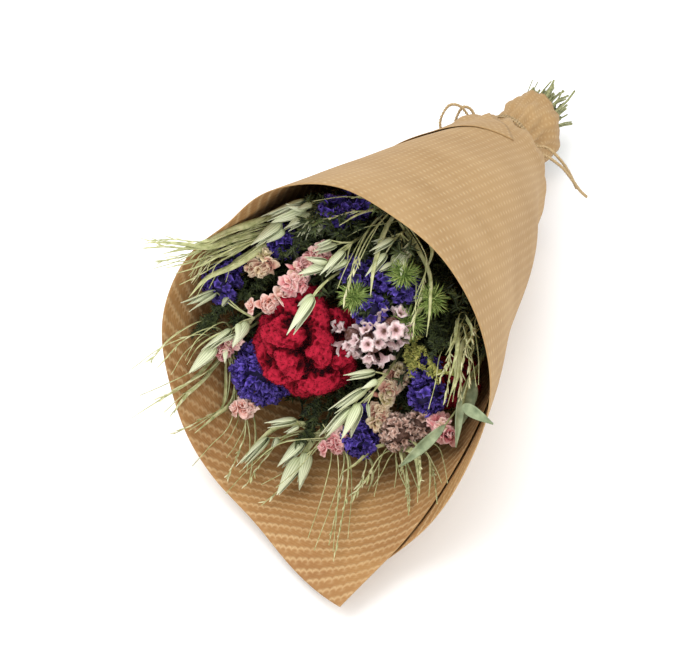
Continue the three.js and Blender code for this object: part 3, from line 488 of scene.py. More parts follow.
def through(points, per_leg):
    """A smooth chain of points through the given ones."""
    p = [point(q) for q in points]
    p = [2 * p[0] - p[1], *p, 2 * p[-1] - p[-2]]
    chain = []
    for i in range(1, len(p) - 2):
        for k in range(per_leg):
            t = k / per_leg
            a, b, c, d = p[i - 1], p[i], p[i + 1], p[i + 2]
            square = 2 * a - 5 * b + 4 * c - d
            cube = 3 * b - a - 3 * c + d
            chain.append(0.5 * (2 * b + (c - a) * t + square * t**2 + cube * t**3))
    chain.append(p[-2])
    return chain


FACING = unit(point((0.32, 0.45, 0.83)))  # the way that the arrangement faces
TOWARDS_FLOWERS = point((0, 0, 1))

# ---------------------------------------------------------------- the paper's surface

gather_z = np.arange(GATHER[0][0] - 12.0, GATHER_END + 40.0, 1.0)
gather_radius = np.where(
    gather_z < GATHER_END,
    np.interp(gather_z, [g[0] for g in GATHER], [g[1] for g in GATHER]),
    CONE_SLOPE * (APEX_TO_NECK + gather_z),
)
softening = np.ones(9) / 9
gather_radius_soft = np.convolve(np.pad(gather_radius, 4, mode="edge"), softening, mode="valid")
gather_share = np.interp(gather_z, [g[0] for g in GATHER], [g[2] for g in GATHER])


def mean_radius(z):
    return np.where(
        z < gather_z[-1],
        np.interp(z, gather_z, gather_radius_soft),
        CONE_SLOPE * (APEX_TO_NECK + z),
    )


def pleat_share(z):
    return np.where(z < GATHER_END, np.interp(z, gather_z, gather_share), 0.0)


def mound(turn, z, turn0, z0, gain, wide, long):
    """A soft mound of the paper round one place."""
    away = (turn - turn0 + 180) % 360 - 180
    return gain * np.exp(-((away / wide) ** 2) - ((z - z0) / long) ** 2)


def push_at(turn, z):
    """Radius that the paper gains where it is pushed out or in."""
    total = 0.0
    for push in PUSHES:
        total = total + mound(turn, z, *push)
    return total


def axis_at(z):
    share = 1 - smooth((z - SHIFT_FROM) / (SHIFT_TO - SHIFT_FROM))
    return NECK_SHIFT[0] * share, NECK_SHIFT[1] * share


def tilt_at(z):
    return TIE_TILT * smooth((GATHER_END - z) / 60) * smooth((z + 100) / 60)


def floor_at(z, height):
    return (height - AXIS_HEIGHT - z * SIN_CONE) / COS_CONE


def crumple(turn, z):
    """Hand-made unevenness of the paper, the same in all its layers: radius gained."""
    angle = math.radians(turn)

    def waves(lobes, pitch, shift=0):
        return noise.noise(Vector((lobes * math.sin(angle), lobes * math.cos(angle), z / pitch + shift)))

    near_tie = math.exp(-(((z - CREASE_MIDDLE) / CREASE_SPREAD) ** 2))
    swells = waves(2.2, 90) * SWELL_HIGH
    creases = waves(5, 16) * CREASE_HIGH
    folds = waves(1.7, 24, 9) * SLEEVE_HIGH
    past_tie = max(0.0, min(1.0, -z / SLEEVE_START))
    sag = mound(turn, z, *SHOULDER_SAG)
    return swells * (1 - near_tie) + creases * near_tie + folds * past_tie - sag


def paper_points(x, y):
    """Points of the paper's middle from places on the flat sheet."""
    rho = np.hypot(x, y)
    turn = SEAM_TURN + np.degrees(np.arctan2(x, y) / SIN_CONE)
    z = np.where(
        rho >= GATHER_RHO, rho * COS_CONE - APEX_TO_NECK, GATHER_END - (GATHER_RHO - rho) * GATHER_PACK
    )
    free = smooth((z - FLAP_HELD) / (FLAP_FREE - FLAP_HELD))
    flap = (FLAP_LIFT * free - FLAP_PRESSED * (1 - free)) * smooth(1 - (SHEET_RIGHT - x) / FLAP_REACH)
    layer = LAYER_PITCH * (turn - 360) / 360
    pleat = np.cos(np.pi * turn / COLUMN_STEP)
    uneven = np.array([crumple(a, b) for a, b in zip(turn, z)])
    pushed = mean_radius(z) + push_at(turn, z) + pleat_share(z) * PLEAT_DEPTH * pleat
    radius = pushed + layer + flap - PAPER_MIDDLE + uneven
    cx, cy = axis_at(z)
    height = LAYER_PITCH * np.maximum(0, FLOOR_TURN - turn) / 360 + PAPER_MIDDLE
    angle = np.radians(turn)
    px = cx - radius * np.sin(angle)
    py = cy - radius * np.cos(angle)
    tilted = z - tilt_at(z) * np.sin(angle)
    return np.stack([px, np.maximum(py, floor_at(tilted, height)), tilted], -1)


def in_paper(p, reach):
    """True where a ball of this radius would touch the paper's inner face."""
    cx, cy = axis_at(p[2])
    turn = math.degrees(math.atan2(cx - p[0], cy - p[1]))
    z = p[2] + tilt_at(p[2]) * math.sin(math.radians(turn))
    rho = (z + APEX_TO_NECK) / COS_CONE
    covered = False
    for whole in (-360, 0, 360):
        angle = math.radians(turn + whole - SEAM_TURN) * SIN_CONE
        x = rho * math.sin(angle)
        y = rho * math.cos(angle)
        if SHEET_LEFT - EDGE_ROOM < x < SHEET_RIGHT + EDGE_ROOM and y < RIM_RHO + EDGE_ROOM:
            covered = True
    low = p[1] - reach < floor_at(p[2], FLOOR_ROOM)
    if not covered:
        return low
    room = float(mean_radius(z)) + push_at(turn, z) - float(pleat_share(z)) * PLEAT_DEPTH - WALL_ROOM
    return low or math.hypot(p[0] - cx, p[1] - cy) + reach > room


def in_reach(p):
    """True where a fine part stays within the solids' outer size."""
    q = LAY_DOWN @ Vector(p)
    return all(cad_low[k] - PAST_SOLIDS < q[k] < cad_high[k] + PAST_SOLIDS for k in range(3))


# ---------------------------------------------------------------- making meshes


def note(mesh, label, values):
    """Keeps a number for each point of a mesh, for the finishes and the trees of nodes."""
    kept = mesh.attributes.new(label, "FLOAT", "POINT")
    kept.data.foreach_set("value", np.array(values, np.float32))


def note_vectors(mesh, label, values):
    """Keeps three numbers for each point of a mesh."""
    kept = mesh.attributes.new(label, "FLOAT_VECTOR", "POINT")
    kept.data.foreach_set("vector", np.array(values, np.float32).ravel())


def mesh_of(name, verts, faces, along=None, across=None, edges=()):
    """A smooth mesh, with how far along and across the piece each point lies."""
    mesh = bpy.data.meshes.new(name)
    mesh.from_pydata([tuple(v) for v in verts], list(edges), [tuple(f) for f in faces])
    for label, values in (("along", along), ("across", across)):
        if values is not None:
            note(mesh, label, values)
    mesh.shade_smooth()
    return mesh


def skin(name, rings, along):
    """A closed skin over rings of points. The first and the last ring may be a single point."""
    verts = [p for ring in rings for p in ring]
    values = [value for ring, value in zip(rings, along) for _ in ring]
    starts = np.cumsum([0] + [len(ring) for ring in rings])
    faces = []
    for i in range(len(rings) - 1):
        here, there = len(rings[i]), len(rings[i + 1])
        count = max(here, there)
        for k in range(count):
            a = starts[i] + k % here
            b = starts[i] + (k + 1) % here
            c = starts[i + 1] + (k + 1) % there
            d = starts[i + 1] + k % there
            face = [a, b, c, d]
            faces.append([v for n, v in enumerate(face) if v not in face[:n]])
    return mesh_of(name, verts, faces, values)


def thin_sheet(grid, thick):
    """Points and faces of a thin closed sheet over a grid of points [row][column]."""
    g = np.array(grid, float)
    rows, columns = g.shape[:2]
    normal = np.cross(np.gradient(g, axis=1), np.gradient(g, axis=0))
    length = np.linalg.norm(normal, axis=2, keepdims=True)
    normal = normal / np.maximum(length, 1e-9) * thick / 2
    verts = np.concatenate([(g + normal).reshape(-1, 3), (g - normal).reshape(-1, 3)])
    half = rows * columns
    faces = []
    for i in range(rows - 1):
        for j in range(columns - 1):
            a = i * columns + j
            ring = [a, a + 1, a + columns + 1, a + columns]
            faces.append(ring)
            faces.append([v + half for v in reversed(ring)])
    border = list(range(columns))
    border += [i * columns + columns - 1 for i in range(1, rows)]
    border += [(rows - 1) * columns + j for j in range(columns - 2, -1, -1)]
    border += [i * columns for i in range(rows - 2, 0, -1)]
    for k, a in enumerate(border):
        b = border[(k + 1) % len(border)]
        faces.append([b, a, a + half, b + half])
    return verts, faces


def joined(name, parts):
    """One mesh from several lists of points, faces, along and across values."""
    verts, faces, along, across = [], [], [], []
    for v, f, low, wide in parts:
        offset = len(verts)
        verts.extend(v)
        faces.extend([[i + offset for i in face] for face in f])
        along.extend(low)
        across.extend(wide)
    return mesh_of(name, verts, faces, along, across)


def painted(name, parts, finish):
    """One mesh from several parts, in one finish."""
    mesh = joined(name, parts)
    mesh.materials.append(finish)
    return mesh


def shape_set(name, meshes):
    """A collection of the shapes that a spray picks its copies from."""
    group = bpy.data.collections.new(name)
    for k, mesh in enumerate(meshes):
        group.objects.link(bpy.data.objects.new(f"{name}_{k}", mesh))
    return group


# ---------------------------------------------------------------- trees of Geometry Nodes


class Tree:
    """A Geometry Nodes tree with named inputs."""

    def __init__(self, name, inputs):
        self.group = bpy.data.node_groups.new(name, "GeometryNodeTree")
        face = self.group.interface
        face.new_socket("Geometry", in_out="INPUT", socket_type="NodeSocketGeometry")
        self.names = {}
        for label, kind in inputs:
            self.names[label] = face.new_socket(label, in_out="INPUT", socket_type=kind).identifier
        face.new_socket("Geometry", in_out="OUTPUT", socket_type="NodeSocketGeometry")
        self.source = self.group.nodes.new("NodeGroupInput")
        self.sink = self.group.nodes.new("NodeGroupOutput")

    def add(self, kind, links=None, values=None, **settings):
        node = self.group.nodes.new(kind)
        for key, value in settings.items():
            setattr(node, key, value)
        for key, value in (values or {}).items():
            node.inputs[key].default_value = value
        for key, socket in (links or {}).items():
            self.group.links.new(socket, node.inputs[key])
        return node

    def given(self, label):
        return self.source.outputs[label]

    def attribute(self, label, kind):
        node = self.add("GeometryNodeInputNamedAttribute", values={"Name": label}, data_type=kind)
        return next(s for s in node.outputs if s.enabled and s.name == "Attribute")

    def end(self, socket):
        """Realize Instances and Set Material close every tree."""
        real = self.add("GeometryNodeRealizeInstances", {"Geometry": socket})
        done = self.add(
            "GeometryNodeSetMaterial", {"Geometry": real.outputs[0], "Material": self.given("Finish")}
        )
        self.group.links.new(done.outputs[0], self.sink.inputs["Geometry"])
        return self

    def applied(self, mesh, name, **given):
        """A plain mesh: this tree run on `mesh` with the given inputs."""
        obj = bpy.data.objects.new(name, mesh)
        bpy.context.scene.collection.objects.link(obj)
        modifier = obj.modifiers.new("tree", "NODES")
        modifier.node_group = self.group
        for label, value in given.items():
            modifier[self.names[label.replace("_", " ")]] = value
        graph = bpy.context.evaluated_depsgraph_get()
        result = bpy.data.meshes.new_from_object(obj.evaluated_get(graph), depsgraph=graph)
        result.name = name
        obj.modifiers.remove(modifier)
        bpy.data.objects.remove(obj)
        return result


def random_number(tree, low, high, seed, kind="FLOAT"):
    node = tree.add("FunctionNodeRandomValue", data_type=kind)
    named = {(s.name, s.type): s for s in node.inputs if s.enabled}
    wanted = "INT" if kind == "INT" else "VALUE"
    tree.group.links.new(seed, next(s for (n, _), s in named.items() if n == "Seed"))
    for label, value in (("Min", low), ("Max", high)):
        socket = named[(label, wanted)]
        if hasattr(value, "is_output"):
            tree.group.links.new(value, socket)
        else:
            socket.default_value = value
    return next(s for s in node.outputs if s.enabled)


def copies_tree():
    """Copies of a few shapes on given places, each with its own turn and size."""
    tree = Tree(
        "copies_on_places",
        [
            ("Shapes", "NodeSocketCollection"),
            ("Kinds", "NodeSocketInt"),
            ("Seed", "NodeSocketInt"),
            ("Finish", "NodeSocketMaterial"),
        ],
    )
    shapes = tree.add(
        "GeometryNodeCollectionInfo",
        {"Collection": tree.given("Shapes")},
        {"Separate Children": True, "Reset Children": True},
    )
    last = tree.add("ShaderNodeMath", {0: tree.given("Kinds")}, {1: 1.0}, operation="SUBTRACT")
    pick = random_number(tree, 0, last.outputs[0], tree.given("Seed"), "INT")
    turn = tree.add("FunctionNodeEulerToRotation", {0: tree.attribute("turn", "FLOAT_VECTOR")})
    placed = tree.add(
        "GeometryNodeInstanceOnPoints",
        {
            "Points": tree.given("Geometry"),
            "Instance": shapes.outputs[0],
            "Instance Index": pick,
            "Rotation": turn.outputs[0],
            "Scale": tree.attribute("size", "FLOAT_VECTOR"),
        },
        {"Pick Instance": True},
    )
    shade = random_number(tree, 0.0, 1.0, tree.given("Seed"))
    kept = tree.add(
        "GeometryNodeStoreNamedAttribute",
        {"Geometry": placed.outputs[0]},
        {"Name": "shade"},
        data_type="FLOAT",
        domain="INSTANCE",
    )
    tree.group.links.new(shade, next(s for s in kept.inputs if s.enabled and s.name == "Value"))
    return tree.end(kept.outputs[0])


def paths_tree():
    """A round or plied skin along chains of edges; the attribute thick is the radius."""
    tree = Tree(
        "skin_along_paths",
        [
            ("Section", "NodeSocketObject"),
            ("Twist", "NodeSocketFloat"),
            ("Finish", "NodeSocketMaterial"),
        ],
    )
    curve = tree.add("GeometryNodeMeshToCurve", {"Mesh": tree.given("Geometry")})
    place = tree.add("GeometryNodeSplineParameter")
    turned = tree.add(
        "ShaderNodeMath", {0: place.outputs["Length"], 1: tree.given("Twist")}, operation="MULTIPLY"
    )
    tilted = tree.add("GeometryNodeSetCurveTilt", {"Curve": curve.outputs[0], "Tilt": turned.outputs[0]})
    thick = tree.attribute("thick", "FLOAT")
    sized = tree.add("GeometryNodeSetCurveRadius", {"Curve": tilted.outputs[0], "Radius": thick})
    section = tree.add("GeometryNodeObjectInfo", {"Object": tree.given("Section")})
    outline = tree.add("GeometryNodeMeshToCurve", {"Mesh": section.outputs["Geometry"]})
    skinned = tree.add(
        "GeometryNodeCurveToMesh",
        {"Curve": sized.outputs[0], "Profile Curve": outline.outputs[0]},
        {"Fill Caps": True},
    )
    if "Scale" in skinned.inputs:
        tree.group.links.new(thick, skinned.inputs["Scale"])
    smoothed = tree.add("GeometryNodeSetShadeSmooth", {0: skinned.outputs[0]})
    return tree.end(smoothed.outputs[0])


def pile_tree():
    """Short pile standing on a surface, mixed with the surface itself."""
    tree = Tree(
        "pile_on_surface",
        [
            ("Shapes", "NodeSocketCollection"),
            ("Per area", "NodeSocketFloat"),
            ("Lean", "NodeSocketFloat"),
            ("Seed", "NodeSocketInt"),
            ("Finish", "NodeSocketMaterial"),
        ],
    )
    spots = tree.add(
        "GeometryNodeDistributePointsOnFaces",
        {"Mesh": tree.given("Geometry"), "Seed": tree.given("Seed")},
    )
    tree.group.links.new(tree.given("Per area"), next(s for s in spots.inputs if s.name == "Density"))
    shapes = tree.add(
        "GeometryNodeCollectionInfo",
        {"Collection": tree.given("Shapes")},
        {"Separate Children": True, "Reset Children": True},
    )
    minus = tree.add("ShaderNodeMath", {0: tree.given("Lean")}, {1: -1.0}, operation="MULTIPLY")
    lean_x = random_number(tree, minus.outputs[0], tree.given("Lean"), tree.given("Seed"))
    other_seed = tree.add("ShaderNodeMath", {0: tree.given("Seed")}, {1: 1.0}, operation="ADD")
    lean_y = random_number(tree, minus.outputs[0], tree.given("Lean"), other_seed.outputs[0])
    lean = tree.add("ShaderNodeCombineXYZ", {"X": lean_x, "Y": lean_y})
    rotation = tree.add("FunctionNodeEulerToRotation", {0: lean.outputs[0]})
    turned = tree.add(
        "FunctionNodeRotateRotation",
        {"Rotation": spots.outputs["Rotation"], "Rotate By": rotation.outputs[0]},
        rotation_space="LOCAL",
    )
    size = random_number(tree, 0.6, 1.15, tree.given("Seed"))
    placed = tree.add(
        "GeometryNodeInstanceOnPoints",
        {
            "Points": spots.outputs["Points"],
            "Instance": shapes.outputs[0],
            "Rotation": turned.outputs[0],
            "Scale": size,
        },
        {"Pick Instance": True},
    )
    both = tree.add("GeometryNodeJoinGeometry")
    tree.group.links.new(placed.outputs[0], both.inputs[0])
    tree.group.links.new(tree.given("Geometry"), both.inputs[0])
    return tree.end(both.outputs[0])


copies = copies_tree()
paths = paths_tree()
pile = pile_tree()


def section(name, count, lobes, depth):
    """The closed outline that a stalk or a cord is drawn through: radius 1, with lobes."""
    verts = []
    for k in range(count):
        angle = 2 * math.pi * k / count
        r = 1 + depth * math.cos(lobes * angle)
        verts.append((r * math.cos(angle), r * math.sin(angle), 0))
    mesh = mesh_of(name, verts, [], edges=[(k, (k + 1) % count) for k in range(count)])
    return bpy.data.objects.new(name, mesh)


ROUND = section("stalk_section", 7, 0, 0.0)
PLIED = section("twine_section", 12, 3, 0.17)


def skinned_paths(name, chains, finish, outline=None, twist=0.0):
    """Tubes along chains of (points, radii)."""
    verts, edges, thick = [], [], []
    for points, radii in chains:
        start = len(verts)
        verts.extend(points)
        thick.extend(radii)
        edges.extend((start + k, start + k + 1) for k in range(len(points) - 1))
    mesh = mesh_of(name, verts, [], edges=edges)
    note(mesh, "thick", thick)
    return paths.applied(mesh, name, Section=outline or ROUND, Twist=twist, Finish=finish)


def turn_of(direction, side):
    """Euler angles that carry +Z to direction and +X to side."""
    other = np.cross(direction, side)
    return Matrix((side, other, direction)).transposed().to_euler("XYZ")


def copied(name, places, shapes, finish, seed):
    """Copies of the shapes on places: lists of (point, direction, side, size)."""
    mesh = mesh_of(name, [p[0] for p in places], [])
    note_vectors(mesh, "turn", [tuple(turn_of(p[1], p[2])) for p in places])
    note_vectors(mesh, "size", [np.broadcast_to(p[3], 3) for p in places])
    return copies.applied(mesh, name, Shapes=shapes, Kinds=len(shapes.objects), Seed=seed, Finish=finish)


def merged(name, meshes):
    """Several meshes as one, each keeping its finish."""
    objects = []
    for k, mesh in enumerate(meshes):
        obj = bpy.data.objects.new(f"{name}_{k}", mesh)
        bpy.context.scene.collection.objects.link(obj)
        objects.append(obj)
    with bpy.context.temp_override(
        active_object=objects[0], selected_editable_objects=objects, selected_objects=objects
    ):
        bpy.ops.object.join()
    result = objects[0].data
    bpy.data.objects.remove(objects[0])
    return result


def piece(name, mesh, slot, *nodes):
    """Lays a mesh down on the table and ties it to the solids that it stands for."""
    mesh.transform(LAY_DOWN)
    mesh.name = name
    obj = bpy.data.objects.new(name, mesh)
    bpy.context.scene.collection.objects.link(obj)
    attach(obj, "root")
    if nodes:
        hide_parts(*nodes)
    return obj


# ---------------------------------------------------------------- finishes


STUDIO_SHARE = 0.82  # the studio is bright, so the finishes are this much darker than they look


def tone(red, green, blue):
    """A paint tone from the 0-255 numbers that it has in the lit studio."""

    def linear(c):
        c /= 255
        return STUDIO_SHARE * (c / 12.92 if c <= 0.04045 else ((c + 0.055) / 1.055) ** 2.4)

    return (linear(red), linear(green), linear(blue), 1.0)


class Finish:
    """A material and the few steps that the finishes here are made of."""

    def __init__(self, name, roughness):
        self.material = bpy.data.materials.new(name)
        self.material.use_nodes = True
        self.nodes = self.material.node_tree.nodes
        self.links = self.material.node_tree.links
        self.shader = self.nodes["Principled BSDF"]
        self.shader.inputs["Roughness"].default_value = roughness
        self.where = self.nodes.new("ShaderNodeTexCoord").outputs["Object"]

    def plug(self, value, socket):
        if hasattr(value, "is_output"):
            self.links.new(value, socket)
        else:
            socket.default_value = value

    def sum(self, operation, first, second=0.0, third=0.0):
        node = self.nodes.new("ShaderNodeMath")
        node.operation = operation
        for socket, value in zip(node.inputs, (first, second, third)):
            self.plug(value, socket)
        return node.outputs[0]

    def blotches(self, size_mm, detail=3.0, stretch=None):
        """Cloudy noise from 0 to 1 with blotches of about this size."""
        where = self.where
        if stretch:
            mapping = self.nodes.new("ShaderNodeMapping")
            self.links.new(where, mapping.inputs["Vector"])
            mapping.inputs["Scale"].default_value = stretch
            where = mapping.outputs[0]
        node = self.nodes.new("ShaderNodeTexNoise")
        self.links.new(where, node.inputs["Vector"])
        node.inputs["Scale"].default_value = 1000.0 / size_mm
        node.inputs["Detail"].default_value = detail
        return node.outputs["Fac"]

    def attribute(self, name):
        node = self.nodes.new("ShaderNodeAttribute")
        node.attribute_name = name
        return node.outputs["Fac"]

    def ramp(self, value, stops):
        """A tone picked by value from stops of (place, tone)."""
        node = self.nodes.new("ShaderNodeValToRGB")
        self.links.new(value, node.inputs["Fac"])
        elements = node.color_ramp.elements
        while len(elements) < len(stops):
            elements.new(0.5)
        for element, (place, shade) in zip(elements, stops):
            element.position = place
            element.color = shade
        return node.outputs["Color"]

    def blend(self, share, first, second, mode="MIX"):
        node = self.nodes.new("ShaderNodeMix")
        node.data_type = "RGBA"
        node.blend_type = mode
        self.plug(share, node.inputs[0])
        self.plug(first, node.inputs[6])
        self.plug(second, node.inputs[7])
        return node.outputs[2]

    def color(self, value):
        self.plug(value, self.shader.inputs["Base Color"])

    def relief(self, height, depth_mm, strength=1.0):
        node = self.nodes.new("ShaderNodeBump")
        node.inputs["Distance"].default_value = depth_mm / 1000
        node.inputs["Strength"].default_value = strength
        self.plug(height, node.inputs["Height"])
        self.links.new(node.outputs[0], self.shader.inputs["Normal"])

    def velvet(self, weight, shade):
        self.shader.inputs["Sheen Weight"].default_value = weight
        self.shader.inputs["Sheen Roughness"].default_value = 0.5
        self.shader.inputs["Sheen Tint"].default_value = shade


EMBOSS_ALONG = 8.4  # the embossing's pitch along its rows, in millimetres
EMBOSS_ROWS = 4.2  # and from row to row
SHEET_GRAIN = math.radians(-45)  # the embossing runs askew to the sheet's sides
DASH_FADE_ALONG = 30.0  # how soon a dash fades along its row
DASH_FADE_ROWS = 15.0  # and towards the next row
BAND_SWING = 0.2  # height of the wavy rows' arches, in pitches
BAND_NARROW = 42.0  # how soon a wavy row fades to its sides
MARK_OUTSIDE = 0.5  # how strongly the marks show on each face
MARK_INSIDE = 0.72


def kraft(name, outside, base, light, dark):
    """Embossed kraft paper: faint raised dashes outside, pale wavy rows with dimples inside."""
    f = Finish(name, 0.75)
    uv = f.nodes.new("ShaderNodeUVMap")
    uv.uv_map = "flat_sheet"
    turned = f.nodes.new("ShaderNodeMapping")
    f.links.new(uv.outputs[0], turned.inputs["Vector"])
    turned.inputs["Rotation"].default_value = (0, 0, SHEET_GRAIN)
    split = f.nodes.new("ShaderNodeSeparateXYZ")
    f.links.new(turned.outputs[0], split.inputs[0])
    wobble = f.sum("MULTIPLY_ADD", f.blotches(16, 1.0), 0.5, -0.25)
    u = f.sum("MULTIPLY_ADD", split.outputs["X"], 1000 / EMBOSS_ALONG, wobble)
    v = f.sum("MULTIPLY_ADD", split.outputs["Y"], 1000 / EMBOSS_ROWS, wobble)
    row = f.sum("FLOOR", v)
    odd = f.sum("MULTIPLY", f.sum("MODULO", f.sum("ABSOLUTE", row), 2.0), 0.5)
    across = f.sum("SUBTRACT", f.sum("FRACT", f.sum("ADD", u, odd)), 0.5)
    up = f.sum("SUBTRACT", f.sum("FRACT", v), 0.5)
    wide = f.sum("MULTIPLY", f.sum("MULTIPLY", across, across), DASH_FADE_ALONG)
    high = f.sum("MULTIPLY", f.sum("MULTIPLY", up, up), DASH_FADE_ROWS)
    dash = f.sum("POWER", 2.718, f.sum("MULTIPLY", f.sum("ADD", wide, high), -1.0))
    arch = f.sum("ABSOLUTE", f.sum("SINE", f.sum("MULTIPLY", u, 2 * math.pi)))
    swing = f.sum("MULTIPLY_ADD", arch, BAND_SWING, f.sum("MULTIPLY", v, 0.5))
    gap = f.sum("SUBTRACT", f.sum("FRACT", swing), 0.5)
    band = f.sum("POWER", 2.718, f.sum("MULTIPLY", f.sum("MULTIPLY", gap, gap), -BAND_NARROW))
    skew = f.sum("MULTIPLY_ADD", u, 2.0, f.sum("MULTIPLY", v, 2.0))
    weave = f.sum("SINE", f.sum("MULTIPLY", skew, 2 * math.pi))
    worn = f.blotches(26, 2.0)
    speck = f.blotches(5, 2.0)
    if outside:
        mark = f.sum("MULTIPLY", dash, f.sum("MULTIPLY_ADD", speck, 1.3, 0.1))
    else:
        mark = f.sum("MULTIPLY_ADD", dash, 0.35, f.sum("MULTIPLY", band, 0.75))
    mark = f.sum("MULTIPLY", mark, f.sum("MULTIPLY_ADD", worn, 1.1, 0.3))
    fibre = f.blotches(1.3, 4.0, (1.0, 0.3, 1.0))
    body = f.ramp(f.blotches(60, 3.0), [(0.3, dark), (0.62, base)])
    body = f.blend(f.sum("MULTIPLY", fibre, 0.4), body, dark)
    body = f.blend(f.sum("MULTIPLY", mark, MARK_OUTSIDE if outside else MARK_INSIDE), body, light)
    f.color(body)
    height = f.sum("MULTIPLY_ADD", weave, 0.05, f.sum("MULTIPLY_ADD", fibre, 0.25, mark))
    f.relief(height, 0.8, 0.6)
    return f.material


def papery(name, throat, middle, rim, spread=0.5, other=None):
    """Thin dried petals: a dark throat, partly their own darker base and partly painted shade in the
    floret's hollow; a lighter rim; each floret a shade of its own.
    """
    f = Finish(name, 0.8)
    along = f.attribute("along")
    shade = f.attribute("shade")
    crinkle = f.blotches(2.0, 3.0)
    place = f.sum("ADD", along, f.sum("MULTIPLY_ADD", crinkle, 0.6, -0.3))
    # The throat tone goes where along is low, at the florets' bases and in their sunk middles: partly their
    # own darker colour, partly painted shade.
    tint = f.ramp(place, [(0.15, throat), (0.55, middle), (1.0, rim)])
    if other:
        second = f.ramp(place, [(0.15, throat), (0.5, other), (1.0, rim)])
        tint = f.blend(f.ramp(shade, [(0.45, (0, 0, 0, 1)), (0.75, (1, 1, 1, 1))]), tint, second)
    darker = f.sum("MULTIPLY", f.sum("SUBTRACT", 1.0, shade), spread)
    f.color(f.blend(darker, tint, f.blend(1.0, tint, throat, "MULTIPLY")))
    f.relief(crinkle, 0.6, 0.7)
    return f.material


def crest_finish(name, deep, body, light):
    """Velvety cockscomb: near black in its folds and at its pile's roots, which is painted shade; crimson;
    lighter on its lobes' tops and its pile's tips, which is a painted sheen.
    """
    f = Finish(name, 0.9)
    f.shader.inputs["Specular IOR Level"].default_value = 0.15
    # along is low in the folds and at the pile's roots, high on the lobes' tops and the pile's tips: the
    # ramp below paints shade and sheen from it
    fold_shade_and_sheen = f.attribute("along")
    grain = f.blotches(1.4, 5.0)
    patch = f.blotches(13, 3.0)
    place = f.sum("ADD", fold_shade_and_sheen, f.sum("MULTIPLY_ADD", grain, 0.4, -0.24))
    tint = f.ramp(place, [(0.12, deep), (0.5, body), (0.98, light)])
    tint = f.blend(f.sum("MULTIPLY", patch, 0.45), tint, f.blend(1.0, tint, body, "MULTIPLY"))
    f.color(tint)
    f.relief(grain, 1.0, 0.7)
    f.velvet(0.05, body)
    return f.material


def husk_finish(name, pale, green, vein):
    """An oat husk: pale, with fine green veins along it."""
    f = Finish(name, 0.55)
    across = f.attribute("across")
    along = f.attribute("along")
    shade = f.attribute("shade")
    wave = f.sum("MULTIPLY_ADD", f.sum("SINE", f.sum("MULTIPLY", across, 22.0)), 0.5, 0.5)
    lines = f.sum("POWER", wave, 2.5)
    paling = f.sum("MULTIPLY_ADD", f.blotches(6), 0.4, f.sum("MULTIPLY", along, 0.8))
    body = f.ramp(paling, [(0.1, green), (0.7, pale)])
    body = f.blend(f.sum("MULTIPLY", lines, 0.62), body, vein)
    f.color(f.blend(f.sum("MULTIPLY", shade, 0.35), body, green))
    f.relief(lines, 0.15, 0.5)
    return f.material


def dry_stalk(name, first, second, third, grain_mm=5.0):
    """Dry stems, grasses and needles: uneven tones along the plant."""
    f = Finish(name, 0.7)
    patch = f.blotches(grain_mm, 4.0)
    shade = f.attribute("shade")
    drying = f.sum("ADD", f.sum("MULTIPLY", shade, 0.35), patch)
    tint = f.ramp(drying, [(0.3, first), (0.55, second), (0.9, third)])
    f.color(tint)
    f.relief(f.blotches(0.9, 3.0), 0.3, 0.5)
    return f.material


def twine_finish():
    """Rough jute: pale and dark fibres, darker in patches."""
    f = Finish("jute_twine", 0.9)
    strand = f.blotches(0.7, 4.0)
    patch = f.blotches(9, 2.0)
    fibres = [(0.3, tone(146, 116, 76)), (0.5, tone(200, 172, 126)), (0.75, tone(236, 214, 172))]
    tint = f.ramp(strand, fibres)
    f.color(f.blend(f.sum("MULTIPLY", patch, 0.25), tint, tone(166, 134, 92)))
    f.relief(strand, 0.4, 0.7)
    return f.material


# Paper: the tones of its body, its marks and its darker fibres. Petals: throat, middle, rim, how far
# single florets darken, and for some a second middle tone.
KRAFT_OUT = kraft("kraft_outside", True, tone(182, 147, 98), tone(228, 200, 152), tone(164, 128, 78))
# The inside's tones, its dark one most, are darker and more orange than the outside's: painted shade inside
# the cone.
KRAFT_IN = kraft("kraft_inside", False, tone(184, 139, 83), tone(228, 196, 146), tone(154, 107, 58))
JUTE = twine_finish()
PURPLE = papery("statice_purple", tone(34, 20, 84), tone(78, 54, 168), tone(128, 104, 218), 0.55)
PALE = papery("statice_pale_pink", tone(104, 62, 44), tone(228, 190, 192), tone(248, 228, 226), 0.15)
DUSTY = papery("statice_dusty_pink", tone(96, 64, 50), tone(212, 170, 152), tone(242, 212, 196), 0.3)
MAUVE = papery("statice_mauve", tone(56, 38, 42), tone(136, 104, 110), tone(176, 146, 150), 0.35)
PINK = papery(
    "larkspur_pink",
    tone(160, 74, 76),
    tone(242, 144, 148),
    tone(255, 212, 206),
    0.3,
    tone(236, 204, 172),
)
SALMON = papery(
    "larkspur_salmon",
    tone(182, 104, 80),
    tone(246, 176, 160),
    tone(255, 226, 214),
    0.25,
    tone(240, 206, 182),
)
BEIGE = papery(
    "larkspur_beige",
    tone(138, 84, 66),
    tone(228, 162, 142),
    tone(250, 230, 196),
    0.3,
    tone(204, 190, 130),
)
